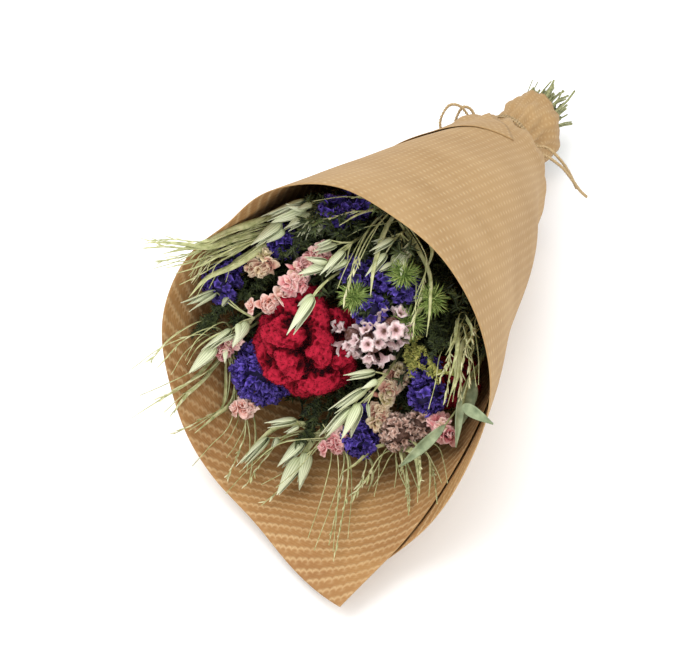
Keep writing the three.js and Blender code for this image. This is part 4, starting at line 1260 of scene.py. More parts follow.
# Each cockscomb's first tone is the painted shade of its folds, and its last the painted sheen of its tops
# and pile tips.
CRIMSON = crest_finish("cockscomb_crimson", tone(30, 0, 6), tone(132, 0, 24), tone(202, 36, 64))
WINE = crest_finish("cockscomb_wine", tone(24, 0, 5), tone(96, 4, 18), tone(146, 24, 38))
HUSK = husk_finish("oat_husk", tone(238, 240, 208), tone(188, 198, 146), tone(118, 140, 78))
STEM = dry_stalk("stem_dry_green", tone(104, 108, 64), tone(148, 150, 98), tone(200, 194, 148))
GRASS = dry_stalk("grass_straw_green", tone(146, 152, 92), tone(200, 202, 146), tone(236, 232, 190))
MOSS = dry_stalk("moss_dark_green", tone(16, 22, 8), tone(40, 52, 20), tone(84, 96, 44), 3.0)
GOLD = dry_stalk("goldenrod_yellow_green", tone(86, 92, 34), tone(142, 146, 66), tone(196, 190, 104), 3.0)
TUFT = dry_stalk("tuft_green", tone(58, 84, 26), tone(118, 146, 62), tone(190, 208, 120), 3.0)
LEAF = dry_stalk("leaf_grey_green", tone(112, 126, 92), tone(152, 164, 126), tone(196, 204, 166), 7.0)

# ---------------------------------------------------------------- camera

CAMERA_LENS = 69.15
CAMERA_SENSOR = 36.0
CAMERA_NEAR = 0.05
CAMERA_FAR = 20.0
CAMERA_DISTANCE = 0.9
CAMERA_BACK = Vector((0.3226, -0.7339, 0.5978))  # from the bouquet towards the camera
CAMERA_TARGET = Vector((-0.0113 - MIDDLE[0] / 1000, -0.338 - MIDDLE[1] / 1000, 0.08 - FLOOR_PRESS / 1000))


def make_camera():
    """A camera at the photograph's viewing angle."""
    camera = bpy.data.objects.new("camera", bpy.data.cameras.new("camera"))
    bpy.context.scene.collection.objects.link(camera)
    bpy.context.scene.camera = camera
    camera.data.lens = CAMERA_LENS
    camera.data.sensor_width = CAMERA_SENSOR
    camera.data.clip_start = CAMERA_NEAR
    camera.data.clip_end = CAMERA_FAR
    camera.location = CAMERA_TARGET + CAMERA_BACK * CAMERA_DISTANCE
    camera.rotation_mode = "QUATERNION"
    camera.rotation_quaternion = (-CAMERA_BACK).to_track_quat("-Z", "Y")


make_camera()

# ---------------------------------------------------------------- twine


def twine_hairs(chains, per_mm, draw, reach):
    """Places for the loose hairs of a twine along its chains."""
    places = []
    for chain in chains:
        for a, b in zip(chain, chain[1:]):
            span = np.linalg.norm(b - a)
            if span < 1e-6:
                continue
            for _ in range(int(span * per_mm + draw())):
                direction = leaning(unit(b - a), 0.5 + 0.8 * draw(), 2 * math.pi * draw())
                at = mix(a, b, draw()) + direction * TWINE_DIAMETER * 0.3
                places.append((at, direction, sides(direction)[0], reach * (0.5 + draw())))
    return places


def hair(name, bend, length, width, steps=2):
    """A thin curved hair along +Z."""
    rings = []
    for k in range(steps):
        t = k / steps
        r = width / 2 * (1 - 0.6 * t)
        rings.append(
            [
                (bend * t * t + r * math.cos(a), r * math.sin(a), length * t)
                for a in (0, 2 * math.pi / 3, 4 * math.pi / 3)
            ]
        )
    rings.append([(bend, 0, length)])
    return skin(name, rings, [k / steps for k in range(steps + 1)])


TWINE_HAIR = shape_set("twine_hair", [hair("h1", 0.6, 2.2, 0.14), hair("h2", -0.9, 2.8, 0.12)])


def twine(name, chains, hairs_per_mm, seed, hair_reach=0.9):
    """Three-ply twine along chains of points, with its loose hairs."""
    thick = [(c, [TWINE_DIAMETER / 2] * len(c)) for c in chains]
    cord = skinned_paths(name, thick, JUTE, PLIED, twist=TWINE_TWIST)
    hairs = copied(name, twine_hairs(chains, hairs_per_mm, draws(seed), hair_reach), TWINE_HAIR, JUTE, seed)
    return merged(name, [cord, hairs])


def make_tails():
    """The two free ends of the twine."""
    for number, (name, route) in enumerate(TAILS.items()):
        chain = through(route, 8)
        tail = piece(f"free_{name}", twine(name, [chain], 0.5, 11 + number, 0.55), "twine", name)


def band_point(turn, radius, along):
    """A point of the tie round the neck."""
    cx, cy = axis_at(TIE)
    s = math.sin(math.radians(turn))
    c = math.cos(math.radians(turn))
    return point((cx - radius * s, cy - radius * c, TIE - TIE_TILT * s + along))


def make_tie():
    """The band round the neck, its knots and the bow."""
    chains = []
    for along in BAND_TURNS:
        chains.append([band_point(KNOT_TURNS[0] + t, BAND_RADIUS, along) for t in range(0, 361, 6)])
    for turn in KNOT_TURNS:
        at = band_point(turn, BAND_RADIUS + 0.8, 0)
        for lean, spin in KNOT_LOOPS:
            axis = leaning(unit(point(KNOT_AXIS)), lean, spin)
            angles = np.linspace(0, 2 * math.pi, 13)
            chains.append([at + square_to(axis, a) * KNOT_RADIUS for a in angles])
    chains.extend(through(route, 6) for route in BOW)
    piece("twine_band_and_bow", twine("tie", chains, 0.8, 5), "twine", "twine_tie")


# ---------------------------------------------------------------- the paper

PAPER_STEP = 3.1  # distance between the paper's mesh lines


def make_paper():
    """The sheet's mesh from its flat place, with its flat place kept for the embossing."""
    columns = int(round(SHEET_LENGTH / PAPER_STEP)) + 1
    rows = int(round(SHEET_WIDTH / PAPER_STEP)) + 1
    x, y = np.meshgrid(np.linspace(SHEET_LEFT, SHEET_RIGHT, columns), np.linspace(SHEET_LOW, RIM_RHO, rows))
    verts = paper_points(x.ravel(), y.ravel())
    faces = []
    for i in range(rows - 1):
        for j in range(columns - 1):
            a = i * columns + j
            faces.append((a, a + columns, a + columns + 1, a + 1))
    mesh = mesh_of("kraft_paper", verts, faces)
    flat = np.stack([x.ravel(), y.ravel()], -1) / 1000
    corners = np.zeros(len(mesh.loops), np.int32)
    mesh.loops.foreach_get("vertex_index", corners)
    layer = mesh.uv_layers.new(name="flat_sheet")
    layer.data.foreach_set("uv", flat[corners].astype(np.float32).ravel())
    mesh.materials.append(KRAFT_OUT)
    mesh.materials.append(KRAFT_IN)
    sheet = piece("kraft_paper_wrap", mesh, "kraft_paper", "kraft_wrap")
    wall = sheet.modifiers.new("paper_thickness", "SOLIDIFY")
    wall.thickness = PAPER_SHOWN / 1000
    wall.offset = 0.0
    wall.material_offset = 1


# ---------------------------------------------------------------- stems


def stem_table():
    """Every stem's name, top, radius and the solid that it stands for."""
    table = []
    for s in COCKSCOMBS:
        top = point(s["at"]) - point((0, 0, s["radius"] * HEAD_FOOT + FOOT_GAP))
        table.append((s["name"], top, COCKSCOMB_STEM, f"{s['name']}_stem"))
    for s in STATICE:
        x, y, z, r = s["clusters"][0]
        top = point((x, y, z - r * HEAD_FOOT - FOOT_GAP))
        table.append((s["name"], top, FLOWER_STEM, f"{s['name']}_stem"))
    sprays = [(s["name"], s["spike"][0], FLOWER_STEM) for s in LARKSPURS]
    sprays += [(s["name"], s["places"][0], SPRAY_STEM) for s in TUFTS]
    sprays += [(s["name"], s["arms"][0][0], SPRAY_STEM) for s in SPRIGS]
    sprays += [(s["name"], s["top"], SPRAY_STEM) for s in OATS]
    sprays += [(s["name"], s["top"], GRASS_STEM) for s in GRASSES]
    sprays += [(LEAVES["name"], LEAVES["top"], SPRAY_STEM)]
    return table + [(name, point(top), radius, name) for name, top, radius in sprays]


def spread(points, radii, room, rounds, pull):
    """Pushes the stems' middles apart, drawing them all in first where pull is below 1."""
    for _ in range(rounds):
        for p in points:
            p[0] *= pull
            p[1] *= pull
        for i in range(len(points)):
            for j in range(i + 1, len(points)):
                dx = points[j][0] - points[i][0]
                dy = points[j][1] - points[i][1]
                gap = math.hypot(dx, dy) + 1e-6
                spacing = radii[i] + radii[j] + room
                if gap < spacing:
                    push = (spacing - gap) / 2 / gap
                    points[i][0] -= dx * push
                    points[i][1] -= dy * push
                    points[j][0] += dx * push
                    points[j][1] += dy * push
    return points


STEMS = stem_table()


def stem_paths():
    """Each stem's points from its cut end, through the tie, to its head."""
    radii = [radius for _, _, radius, _ in STEMS]
    slopes = [(top[0] / (STEM_PACK + top[2]), top[1] / (STEM_PACK + top[2])) for _, top, _, _ in STEMS]

    def at(z):
        return [[x * (STEM_PACK + z), y * (STEM_PACK + z)] for x, y in slopes]

    tie = spread(spread(at(TIE), radii, STEM_GAP, 200, 0.98), radii, STEM_GAP, 30, 1)
    levels = [spread(at(z), radii, STEM_GAP * 3, 12, 1) for z in STEM_LEVELS]
    draw = draws(7)
    result = {}
    for i, (name, top, _, _) in enumerate(STEMS):
        cx, cy = axis_at(TIE)
        end = STEM_END + STEM_END_SPREAD * (draw() - 0.5)
        narrow = TIE + TIE_TILT * tie[i][0] / NECK_RADIUS
        route = [
            (cx + tie[i][0] * END_FLARE, cy + tie[i][1] * END_FLARE, end),
            (cx + tie[i][0], cy + tie[i][1], narrow),
        ]
        for z, points in zip(STEM_LEVELS, levels):
            lx, ly = axis_at(z)
            route.append((lx + points[i][0], ly + points[i][1], z))
        route.append(tuple(top))
        result[name] = route
    return result


STEM_PATHS = stem_paths()


def stem_chain(name, radius):
    """The stem's points and radii, with its small joints."""
    draw = draws(sum(map(ord, name)))
    points = through(STEM_PATHS[name], 5)
    radii = []
    for k in range(len(points)):
        taper = radius * (1 - 0.25 * k / len(points))
        radii.append(taper * (0.75 + 0.25 * draw()))
    return points, radii


def twig(a, b, r0, r1, sag, draw):
    """A thin side stalk from a to b, slightly bent."""
    a, b = point(a), point(b)
    span = b - a
    bend = leaning(unit(span), math.pi / 2, 2 * math.pi * draw()) * np.linalg.norm(span) * sag
    points = [mix(a, b, t) + bend * 4 * t * (1 - t) for t in (0, 0.25, 0.5, 0.75, 1)]
    return points, list(np.linspace(r0, r1, 5))


# ---------------------------------------------------------------- shapes that repeat


CUP_DEPTH = 0.72  # of a floret of width 1
CUP_LOBES = 5


def ruffled_cup(name, seed):
    """A crinkled papery floret: a narrow base, a ruffled rim and a sunk middle. Width 1, along +Z."""
    draw = draws(seed)
    count = CUP_LOBES * 2
    jitter = [(draw() - 0.5, draw() - 0.5) for _ in range(count)]

    def ring(r, z, ruffle):
        points = []
        for k, (a, b) in enumerate(jitter):
            angle = 2 * math.pi * (k + 0.5 * a * ruffle) / count
            out = r * (1 + ruffle * (0.2 if k % 2 == 0 else -0.26) + 0.34 * ruffle * b)
            points.append((out * math.cos(angle), out * math.sin(angle), z + 0.34 * ruffle * a))
        return points

    rings = [
        [(0, 0, 0)],
        ring(0.17, 0.18, 0.2),
        ring(0.3, CUP_DEPTH * 0.72, 0.6),
        ring(0.5, CUP_DEPTH, 1.0),
        ring(0.22, CUP_DEPTH * 0.62, 0.7),
        [(0, 0, CUP_DEPTH * 0.4)],
    ]
    return skin(name, rings, [0.1, 0.3, 0.65, 1.0, 0.35, 0.0])


def open_floret(name, seed):
    """A papery floret that opens from a thin tube to a softly ruffled rim. Width 1, along +Z."""
    draw = draws(seed)
    phase = [2 * math.pi * draw() for _ in range(4)]
    count = 22

    def ring(r, z, ruffle):
        points = []
        for k in range(count):
            a = 2 * math.pi * k / count
            rise = 0.12 * math.sin(3 * a + phase[0]) + 0.1 * math.sin(7 * a + phase[1])
            scallop = 0.08 * math.sin(5 * a + phase[2]) + 0.09 * math.sin(9 * a + phase[3])
            out = r * (1 + ruffle * scallop)
            points.append((out * math.cos(a), out * math.sin(a), z + ruffle * rise))
        return points

    rings = [
        [(0, 0, 0)],
        ring(0.09, 0.2, 0.0),
        ring(0.17, 0.46, 0.2),
        ring(0.36, 0.64, 0.7),
        ring(0.54, 0.7, 1.0),
        ring(0.34, 0.68, 0.7),
        ring(0.13, 0.48, 0.2),
        [(0, 0, 0.34)],
    ]
    return skin(name, rings, [0.1, 0.3, 0.5, 0.8, 1.0, 0.75, 0.3, 0.0])


def petal(length, width, cup, curl, draw, rows=5, columns=5, thick=0.025):
    """A crumpled petal along +Z bending outwards to +X: points, faces, along and across values."""
    grid, along, across = [], [], []
    twist = (draw() - 0.5) * 0.7
    for i in range(rows):
        t = i / (rows - 1)
        half = width / 2 * (math.sin(math.pi * min(1.0, 0.1 + 0.72 * t)) ** 0.6)
        row = []
        for j in range(columns):
            s = 2 * j / (columns - 1) - 1
            x = curl * length * t * t - cup * width * s * s * (1 - 0.5 * t)
            y = half * s + twist * width * t * t
            z = length * (t - 0.3 * curl * t * t) + 0.17 * length * t * (draw() - 0.5)
            row.append((x + 0.2 * length * t * (draw() - 0.5), y, z))
            along.append(t)
            across.append(s)
        grid.append(row)
    verts, faces = thin_sheet(grid, thick)
    return verts, faces, along * 2, across * 2


def turned(part, angle, tilt, lift=0.0):
    """A part tilted outwards and turned round +Z."""
    matrix = np.array(Euler((0, tilt, angle), "XYZ").to_matrix())
    verts, faces, along, across = part
    return np.array(verts) @ matrix.T + point((0, 0, lift)), faces, along, across


def crumpled_flower(name, seed):
    """A dried larkspur flower: broad crumpled petals, closed over the middle. Width 1."""
    draw = draws(seed)
    parts = []
    for k in range(5):
        leaf = petal(0.6, 0.56, 0.3 + 0.3 * draw(), 0.3 + 0.6 * draw(), draw)
        parts.append(turned(leaf, 2 * math.pi * (k + 0.5 * draw()) / 5, 0.25 + 0.6 * draw()))
    for k in range(4):
        leaf = petal(0.55, 0.44, 0.5, -0.2 + 0.6 * draw(), draw)
        parts.append(turned(leaf, 2 * math.pi * (k + 0.6 * draw()) / 4, 0.05 + 0.4 * draw(), 0.08))
    return joined(name, parts)


def glume(length, width, swell, gape, rows=11, columns=9):
    """One boat-shaped husk of an oat, pointed, along +Z, its back to +X."""
    grid, along, across = [], [], []
    for i in range(rows):
        t = i / (rows - 1)
        body = math.sin(math.pi * t**0.6) ** 0.85 * (1.1 - 0.35 * t) if 0 < t < 1 else 0.0
        half = width / 2 * max(body, 0.03)
        row = []
        for j in range(columns):
            s = 2 * j / (columns - 1) - 1
            angle = s * 1.25
            x = swell * body * math.cos(angle) + gape * t * t
            row.append((x, half * math.sin(angle) / math.sin(1.25), length * t))
            along.append(t)
            across.append(s)
        grid.append(row)
    verts, faces = thin_sheet(grid, 0.012)
    return verts, faces, along * 2, across * 2


def spikelet(name, seed, gape):
    """An oat spikelet of length 1: two pointed husks, part open, and two slimmer ones between them."""
    draw = draws(seed)
    open_by = gape + 0.05 * draw()
    parts = [
        turned(glume(1.0, 0.36, 0.11, open_by), 0.0, 0.0),
        turned(glume(0.92, 0.34, 0.11, open_by * 1.3), math.pi, 0.04),
        turned(glume(0.8, 0.17, 0.06, 0.03 + 0.5 * open_by), 0.9 + draw(), 0.0, 0.05),
        turned(glume(0.74, 0.15, 0.05, 0.02 + 0.5 * open_by), 3.6 + draw(), 0.0, 0.07),
    ]
    return joined(name, parts)


def spindle(name, length, width, bend, count=5):
    """A slim grass seed along +Z."""
    rings = [[(0, 0, 0)]]
    for t, w in ((0.2, 0.8), (0.5, 1.0), (0.8, 0.55)):
        r = width / 2 * w
        ring = []
        for k in range(count):
            a = 2 * math.pi * k / count
            ring.append((bend * t * t + r * math.cos(a), 0.6 * r * math.sin(a), length * t))
        rings.append(ring)
    rings.append([(bend, 0, length)])
    return skin(name, rings, [0, 0.3, 0.5, 0.8, 1])


CUPS = shape_set("statice_floret", [ruffled_cup(f"c{k}", 31 + k) for k in range(4)])
OPEN_FLORETS = shape_set("open_floret", [open_floret(f"o{k}", 61 + k) for k in range(4)])
FLOWERS = shape_set("larkspur_flower", [crumpled_flower(f"f{k}", 91 + k) for k in range(4)])
SPIKELETS = shape_set("oat_spikelet", [spikelet(f"s{k}", 121 + k, 0.01 + 0.03 * k) for k in range(4)])
SEEDS = shape_set("grass_seed", [spindle("g0", 1, 0.15, 0.1), spindle("g1", 1, 0.2, -0.08)])
SPINES = shape_set("tuft_spine", [hair("t0", 0.35, 1, 0.15, 3), hair("t1", -0.5, 1, 0.12, 3)])
NEEDLES = shape_set("moss_needle", [hair("n0", 0.3, 1, 0.26), hair("n1", -0.2, 1, 0.34)])
BUDS = shape_set("small_bud", [spindle("u0", 1, 0.5, 0.1), spindle("u1", 1, 0.62, -0.1)])
PILE = shape_set(
    "crest_pile", [hair("p0", 0.6, 2.0, 0.26), hair("p1", -0.7, 1.6, 0.3), hair("p2", 0.3, 2.6, 0.22)]
)

# ---------------------------------------------------------------- flowers


def ball(radius, level):
    """An evenly meshed ball: its points and faces."""
    mesh = bpy.data.meshes.new("ball")
    bm = bmesh.new()
    bmesh.ops.create_icosphere(bm, subdivisions=level, radius=radius)
    bm.to_mesh(mesh)
    bm.free()
    verts = np.array([v.co for v in mesh.vertices], float)
    faces = [tuple(p.vertices) for p in mesh.polygons]
    bpy.data.meshes.remove(mesh)
    return verts, faces


BALL = ball(1.0, 3)
SMALL_BALL = ball(1.0, 2)

CREST_FRILL = 5.5  # size of the frills on the lobes
CREST_RIDGES = 3.6  # pitch of the wormy ridges
CREST_RIDGE_HIGH = 1.1
CREST_GRAIN = 1.6  # pitch of the fine grain on them
CREST_GRAIN_HIGH = 0.6
SMOOTHING_ROUNDS = 90  # rounds of smoothing that the folds' depth is measured against
LARGE_CREST = 30.0  # radius above which a crest is meshed more coarsely
SKIN_STEP = 1.1
SMALL_SKIN_STEP = 0.8
PILE_PER_AREA = 0.55
PILE_LEAN = 0.7


def crest_lobes(at, radius, lobes):
    """Each lobe's middle, direction, side and half sizes, by the rule of the solids."""
    draw = draws(radius * 31 + lobes)
    facing = unit(TOWARDS_FLOWERS + FACING * 0.6)
    found = [(at, facing, sides(facing)[0], (radius * 0.6,) * 3)]
    for direction in evenly(facing, lobes, -0.45, draw):
        side = square_to(direction, math.pi * draw())
        reach = radius * (0.54 + 0.1 * draw())
        half = (radius * 0.42, radius * 0.4, radius * 0.2)
        found.append((at + direction * reach, direction, side, half))
    return found


def crest_knobs(at, radius, draw):
    """Small knobs that break up the lobes' outer sides."""
    facing = unit(TOWARDS_FLOWERS + FACING * 0.6)
    found = []
    for direction in evenly(facing, 16, -0.1, draw):
        direction = leaning(direction, 0.3 * draw(), 2 * math.pi * draw())
        side = any_side(direction, draw)
        wide = radius * (0.2 + 0.12 * draw())
        middle = at + direction * radius * (0.7 + 0.12 * draw())
        found.append((middle, direction, side, (wide, wide * 1.2, wide * 0.6)))
    return found


def depth_in_folds(mesh, rounds):
    """How far each point lies below the smoothed surface, in millimetres: more in the folds."""
    count = len(mesh.vertices)
    places = np.array([v.co for v in mesh.vertices], float)
    normals = np.array([v.normal for v in mesh.vertices], float)
    ends = np.zeros(len(mesh.edges) * 2, np.int32)
    mesh.edges.foreach_get("vertices", ends)
    a, b = ends[0::2], ends[1::2]
    around = np.maximum(np.bincount(ends, minlength=count), 1)[:, None]
    soft = places
    for _ in range(rounds):
        total = [np.bincount(a, soft[b, k], count) + np.bincount(b, soft[a, k], count) for k in range(3)]
        soft = np.stack(total, -1) / around
    return ((soft - places) * normals).sum(1)


def make_crest(spec, finish, slot):
    """A cockscomb head: folded lobes and knobs merged into one skin, wrinkled, with a short pile."""
    at, radius = point(spec["at"]), spec["radius"]
    draw = draws(radius * 7 + 3)
    verts, faces = [], []
    base_verts, base_faces = BALL
    folds = crest_lobes(at, radius, spec["lobes"]) + crest_knobs(at, radius, draw)
    for middle, direction, side, half in folds:
        axes = np.stack([side * half[1], np.cross(direction, side) * half[2], direction * half[0]])
        offset = len(verts)
        for v in base_verts:
            p = middle + v @ axes
            frill = noise.noise(Vector(p / CREST_FRILL)) * radius * 0.06
            verts.append(p + (v @ axes) / np.linalg.norm(v @ axes) * frill)
        faces.extend([[i + offset for i in face] for face in base_faces])
    obj = bpy.data.objects.new("crest", mesh_of("crest", verts, faces))
    bpy.context.scene.collection.objects.link(obj)
    remesh = obj.modifiers.new("one_skin", "REMESH")
    remesh.mode = "VOXEL"
    remesh.voxel_size = SKIN_STEP if radius > LARGE_CREST else SMALL_SKIN_STEP
    graph = bpy.context.evaluated_depsgraph_get()
    mesh = bpy.data.meshes.new_from_object(obj.evaluated_get(graph), depsgraph=graph)
    bpy.data.objects.remove(obj)
    mesh.materials.clear()
    normals = np.array([v.normal for v in mesh.vertices], float)
    places = np.array([v.co for v in mesh.vertices], float)
    for k, (p, n) in enumerate(zip(places, normals)):
        q = Vector(p)
        worm = 1 - abs(noise.noise(q / CREST_RIDGES)) * 3.4
        fine = noise.noise(q / CREST_GRAIN)
        places[k] = p + n * (worm * CREST_RIDGE_HIGH + fine * CREST_GRAIN_HIGH)
    mesh.vertices.foreach_set("co", places.ravel())
    mesh.update()
    # Painted shade and sheen: points deep in the folds and near the head's middle get low values, which the
    # finish paints near black, and the outer lobes' tops get high ones, which it paints light.
    height = np.clip(0.46 - 0.3 * depth_in_folds(mesh, SMOOTHING_ROUNDS), 0, 1)
    out = np.clip((np.linalg.norm(places - at, axis=1) / radius - 0.55) / 0.35, 0, 1)
    note(mesh, "along", height * out)
    mesh = pile.applied(
        mesh,
        "crest",
        Shapes=PILE,
        Per_area=PILE_PER_AREA,
        Lean=PILE_LEAN,
        Seed=int(radius),
        Finish=finish,
    )
    mesh.shade_smooth()
    piece(f"crest_of_{spec['name']}", mesh, slot, spec["name"])


def wrinkled_core(at, radius, seed):
    """The hidden, uneven middle of a head: a part for joined()."""
    verts, faces = SMALL_BALL
    shift = Vector((seed, 0, 0))
    bumpy = [at + v * radius * (1 + 0.25 * noise.noise(Vector(v * 2.5) + shift)) for v in verts]
    return bumpy, faces, [0.2] * len(verts), [0.0] * len(verts)


def make_statice(spec, finish, slot, shapes, width, crowding):
    """A statice head: papery florets crowded on the clusters, over a dark core which is painted shade
    between them.
    """
    name = spec["name"]
    draw = draws(len(spec["clusters"]) * 101 + round(500 + spec["clusters"][0][0]))
    places, cores, stalks = [], [], []
    first = point(spec["clusters"][0][:3])
    for k, (x, y, z, radius) in enumerate(spec["clusters"]):
        at = point((x, y, z))
        # The core's low along value gives it the finish's dark throat tone: painted shade between the
        # florets.
        cores.append(wrinkled_core(at, radius * 0.7, k))
        if k > 0:
            stalks.append(twig(first, at, 1.4, 1.2, 0.05, draw))
        for even in evenly(FACING, round(radius * radius * crowding), -0.75, draw):
            direction = leaning(even, 0.45 * draw(), 2 * math.pi * draw())
            size = width * (0.8 + 0.4 * draw())
            base = at + direction * radius * (0.55 + 0.2 * draw())
            reach = max(size * 0.75, radius * 0.32)
            if in_paper(base + direction * reach * 0.8, size * 0.4):
                continue
            side = any_side(direction, draw)
            places.append((base, direction, side, (size, size, reach / CUP_DEPTH)))
    meshes = [painted(name, cores, finish), copied(name, places, shapes, finish, 3)]
    if stalks:
        meshes.append(skinned_paths(name, stalks, STEM))
    piece(f"head_of_{name}", merged(name, meshes), slot, name)


def make_larkspur(spec, finish, slot):
    """A larkspur spike: crumpled flowers along it, and among them buds on short stalks."""
    name = spec["name"]
    draw = draws(spec["florets"] * 57 + round(600 + spec["spike"][0][1]))
    spike = [point(p) for p in spec["spike"]]
    chains = [(spike, list(np.linspace(1.2, 0.8, len(spike))))]
    places, buds = [], []
    for k in range(spec["florets"]):
        base, _ = spot_on(spike, (k + 0.5) / spec["florets"] * (len(spike) - 1))
        direction = leaning(FACING, 0.25 + 0.7 * draw(), 2 * math.pi * draw())
        length = 7.5 + 2.5 * draw()
        width = 9.5 + 3.5 * draw()
        if in_paper(base + direction * length, width * 0.4):
            continue
        places.append((base, direction, sides(direction)[0], (width * 1.15, width * 1.15, length * 1.6)))
    extra = draws(spec["florets"] * 5 + 3)
    for k in range(spec["florets"] * 2):
        base, _ = spot_on(spike, extra() * (len(spike) - 1))
        direction = leaning(FACING, 0.3 + 0.9 * extra(), 2 * math.pi * extra())
        size = 4.5 + 5 * extra()
        at = base + direction * 3
        if in_paper(at + direction * size, 2):
            continue
        if k % 3 == 0:
            buds.append((at, direction, sides(direction)[0], size))
        else:
            places.append((at, direction, sides(direction)[0], size * 1.35))
    chains.extend(twig(at - d * 3, at, 0.5, 0.4, 0.02, extra) for at, d, _, _ in buds)
    meshes = [copied(name, places, FLOWERS, finish, 7), skinned_paths(name, chains, STEM)]
    if buds:
        meshes.append(copied(name, buds, BUDS, finish, 9))
    piece(f"flowers_of_{name}", merged(name, meshes), slot, name)


TUFT_CORE = 4.4
SPINES_PER_TUFT = 170


def make_tuft(spec):
    """A green bristly tuft: many fine bent bracts round each head."""
    name = spec["name"]
    draw = draws(len(spec["places"]) * 77 + round(700 + spec["places"][0][0]))
    places, chains, cores = [], [], []
    heads = [point(p) for p in spec["places"]]
    for k, at in enumerate(heads):
        cores.append(wrinkled_core(at, TUFT_CORE, k))
        if k > 0:
            chains.append(twig(heads[0], at, 1.2, 1.1, 0.04, draw))
        for direction in evenly(FACING, SPINES_PER_TUFT, -0.6, draw):
            direction = leaning(direction, 0.5 * draw(), 2 * math.pi * draw())
            length = 5.5 + 5.5 * draw()
            side = any_side(direction, draw)
            if not in_paper(at + direction * length, 0.5):
                places.append((at + direction * 2.6, direction, side, (8, 8, length)))
    meshes = [painted(name, cores, TUFT), copied(name, places, SPINES, TUFT, 13)]
    if chains:
        meshes.append(skinned_paths(name, chains, STEM))
    piece(f"bristles_of_{name}", merged(name, meshes), "tuft_green", name)


def needle_places(arm, per_mm, length, draw):
    """Places for needles along an arm of points."""
    places = []
    for a, b in zip(arm, arm[1:]):
        span = np.linalg.norm(b - a)
        forward = unit(b - a)
        for _ in range(max(1, int(span * per_mm))):
            base = mix(a, b, draw())
            direction = leaning(forward, 0.45 + 0.8 * draw(), 2 * math.pi * draw())
            reach = length * (0.55 + 0.6 * draw())
            if not in_paper(base + direction * reach, 0.3):
                places.append((base, direction, sides(direction)[0], (length, length, reach)))
    return places


def side_arms(arm, count, reach, draw):
    """Short side branches off an arm."""
    arms = []
    for _ in range(count):
        leg = int(draw() * (len(arm) - 1))
        a, b = arm[leg], arm[leg + 1]
        base = mix(a, b, draw())
        direction = leaning(unit(b - a), 0.5 + 0.5 * draw(), 2 * math.pi * draw())
        tip = base + direction * reach * (0.6 + 0.7 * draw())
        if not in_paper(tip, 2):
            arms.append([base, mix(base, tip, 0.5) + leaning(direction, 1.57, draw() * 6) * 0.8, tip])
    return arms


# How a sprig is dressed: its shapes, side branches to an arm, shapes per millimetre and their length.
MOSSY = (NEEDLES, 8, 5.0, 5.0)
FEATHERY = (BUDS, 9, 3.2, 3.0)


def make_sprig(spec, finish, slot, shapes, per_arm, per_mm, length):
    """A mossy or feathery sprig: arms, side branches and needles or small buds."""
    name = spec["name"]
    draw = draws(round(800 + spec["arms"][0][0][0]))
    arms = [[point(p) for p in arm] for arm in spec["arms"]]
    branches = []
    for arm in arms:
        branches += side_arms(arm, per_arm, 11, draw)
    places = []
    for arm in arms + branches:
        places += needle_places(arm, per_mm, length, draw)
    chains = [(arm, list(np.linspace(0.8, 0.35, len(arm)))) for arm in arms + branches]
    meshes = [copied(name, places, shapes, finish, 17), skinned_paths(name, chains, finish)]
    piece(f"sprig_of_{name}", merged(name, meshes), slot, name)


def make_oats(spec):
    """A spray of oats: thin stalks with hanging husks, and smaller ones among them."""
    name = spec["name"]
    draw = draws(len(spec["spikelets"]) * 19 + round(900 + spec["top"][0]))
    places, chains = [], []

    def hang(base, tip):
        direction = unit(tip - base)
        side = square_to(direction, math.pi * draw())
        chains.append(twig(spec["top"], base, 0.6, 0.42, 0.06, draw))
        reach = np.linalg.norm(tip - base) * 1.04
        wide = min(reach, 21 + 0.15 * reach)
        places.append((base - direction * 0.5, direction, side, (wide, wide, reach)))

    for base, tip in spec["spikelets"]:
        hang(point(base), point(tip))
    for base, tip in spec["spikelets"]:
        base, tip = point(base), point(tip)
        direction = leaning(unit(tip - base), 0.25 + 0.45 * draw(), 2 * math.pi * draw())
        nearby = base + leaning(direction, 1.4, 2 * math.pi * draw()) * (4 + 5 * draw())
        end = nearby + direction * (10 + 6 * draw())
        if not in_paper(end, 3) and not in_paper(nearby, 2) and in_reach(end):
            hang(nearby, end)
    meshes = [copied(name, places, SPIKELETS, HUSK, 19), skinned_paths(name, chains, GRASS)]
    piece(f"husks_of_{name}", merged(name, meshes), "oat_green", name)


def blade_along(chain, width, draw):
    """A flat blade that follows a chain of points, twisting a little: a part for joined()."""
    grid, along, across = [], [], []
    spin = 2 * math.pi * draw()
    turning = (draw() - 0.5) * 2.2
    last = len(chain) - 1
    for i, at in enumerate(chain):
        t = i / last
        forward = unit(chain[min(i + 1, last)] - chain[max(i - 1, 0)])
        side = square_to(forward, spin + turning * t)
        half = width / 2 * min(1.0, 0.4 + 3 * t) * max(0.08, 1 - t**3)
        hollow = np.cross(forward, side) * half * 0.3
        grid.append([at + side * half * s + hollow * (s * s) for s in (-1, 0, 1)])
        along.extend([t] * 3)
        across.extend((-1, 0, 1))
    verts, faces = thin_sheet(grid, 0.3)
    return verts, faces, along * 2, across * 2


def beside(route, start, end, draw):
    """A route that runs beside another, further off it towards its tip."""
    off = [point((draw() - 0.5, draw() - 0.5, draw() - 0.5)) * 2 for _ in range(2)]
    last = len(route) - 1
    shifted = [point(p) + off[0] * start + off[1] * end * (k / last) ** 1.4 for k, p in enumerate(route)]
    shifted[-1] = mix(shifted[-2], shifted[-1], 0.65 + 0.4 * draw())
    return shifted


USUAL_COMPANY = (6, 13.0)  # strands beside each listed one, and how far they spread at its tip
SPREAD_AT_TOP = 8.0
SEEDED_COMPANION = 4  # the one of them that bears seeds as the listed strand does
SEEDS_PER_STRAND = 10


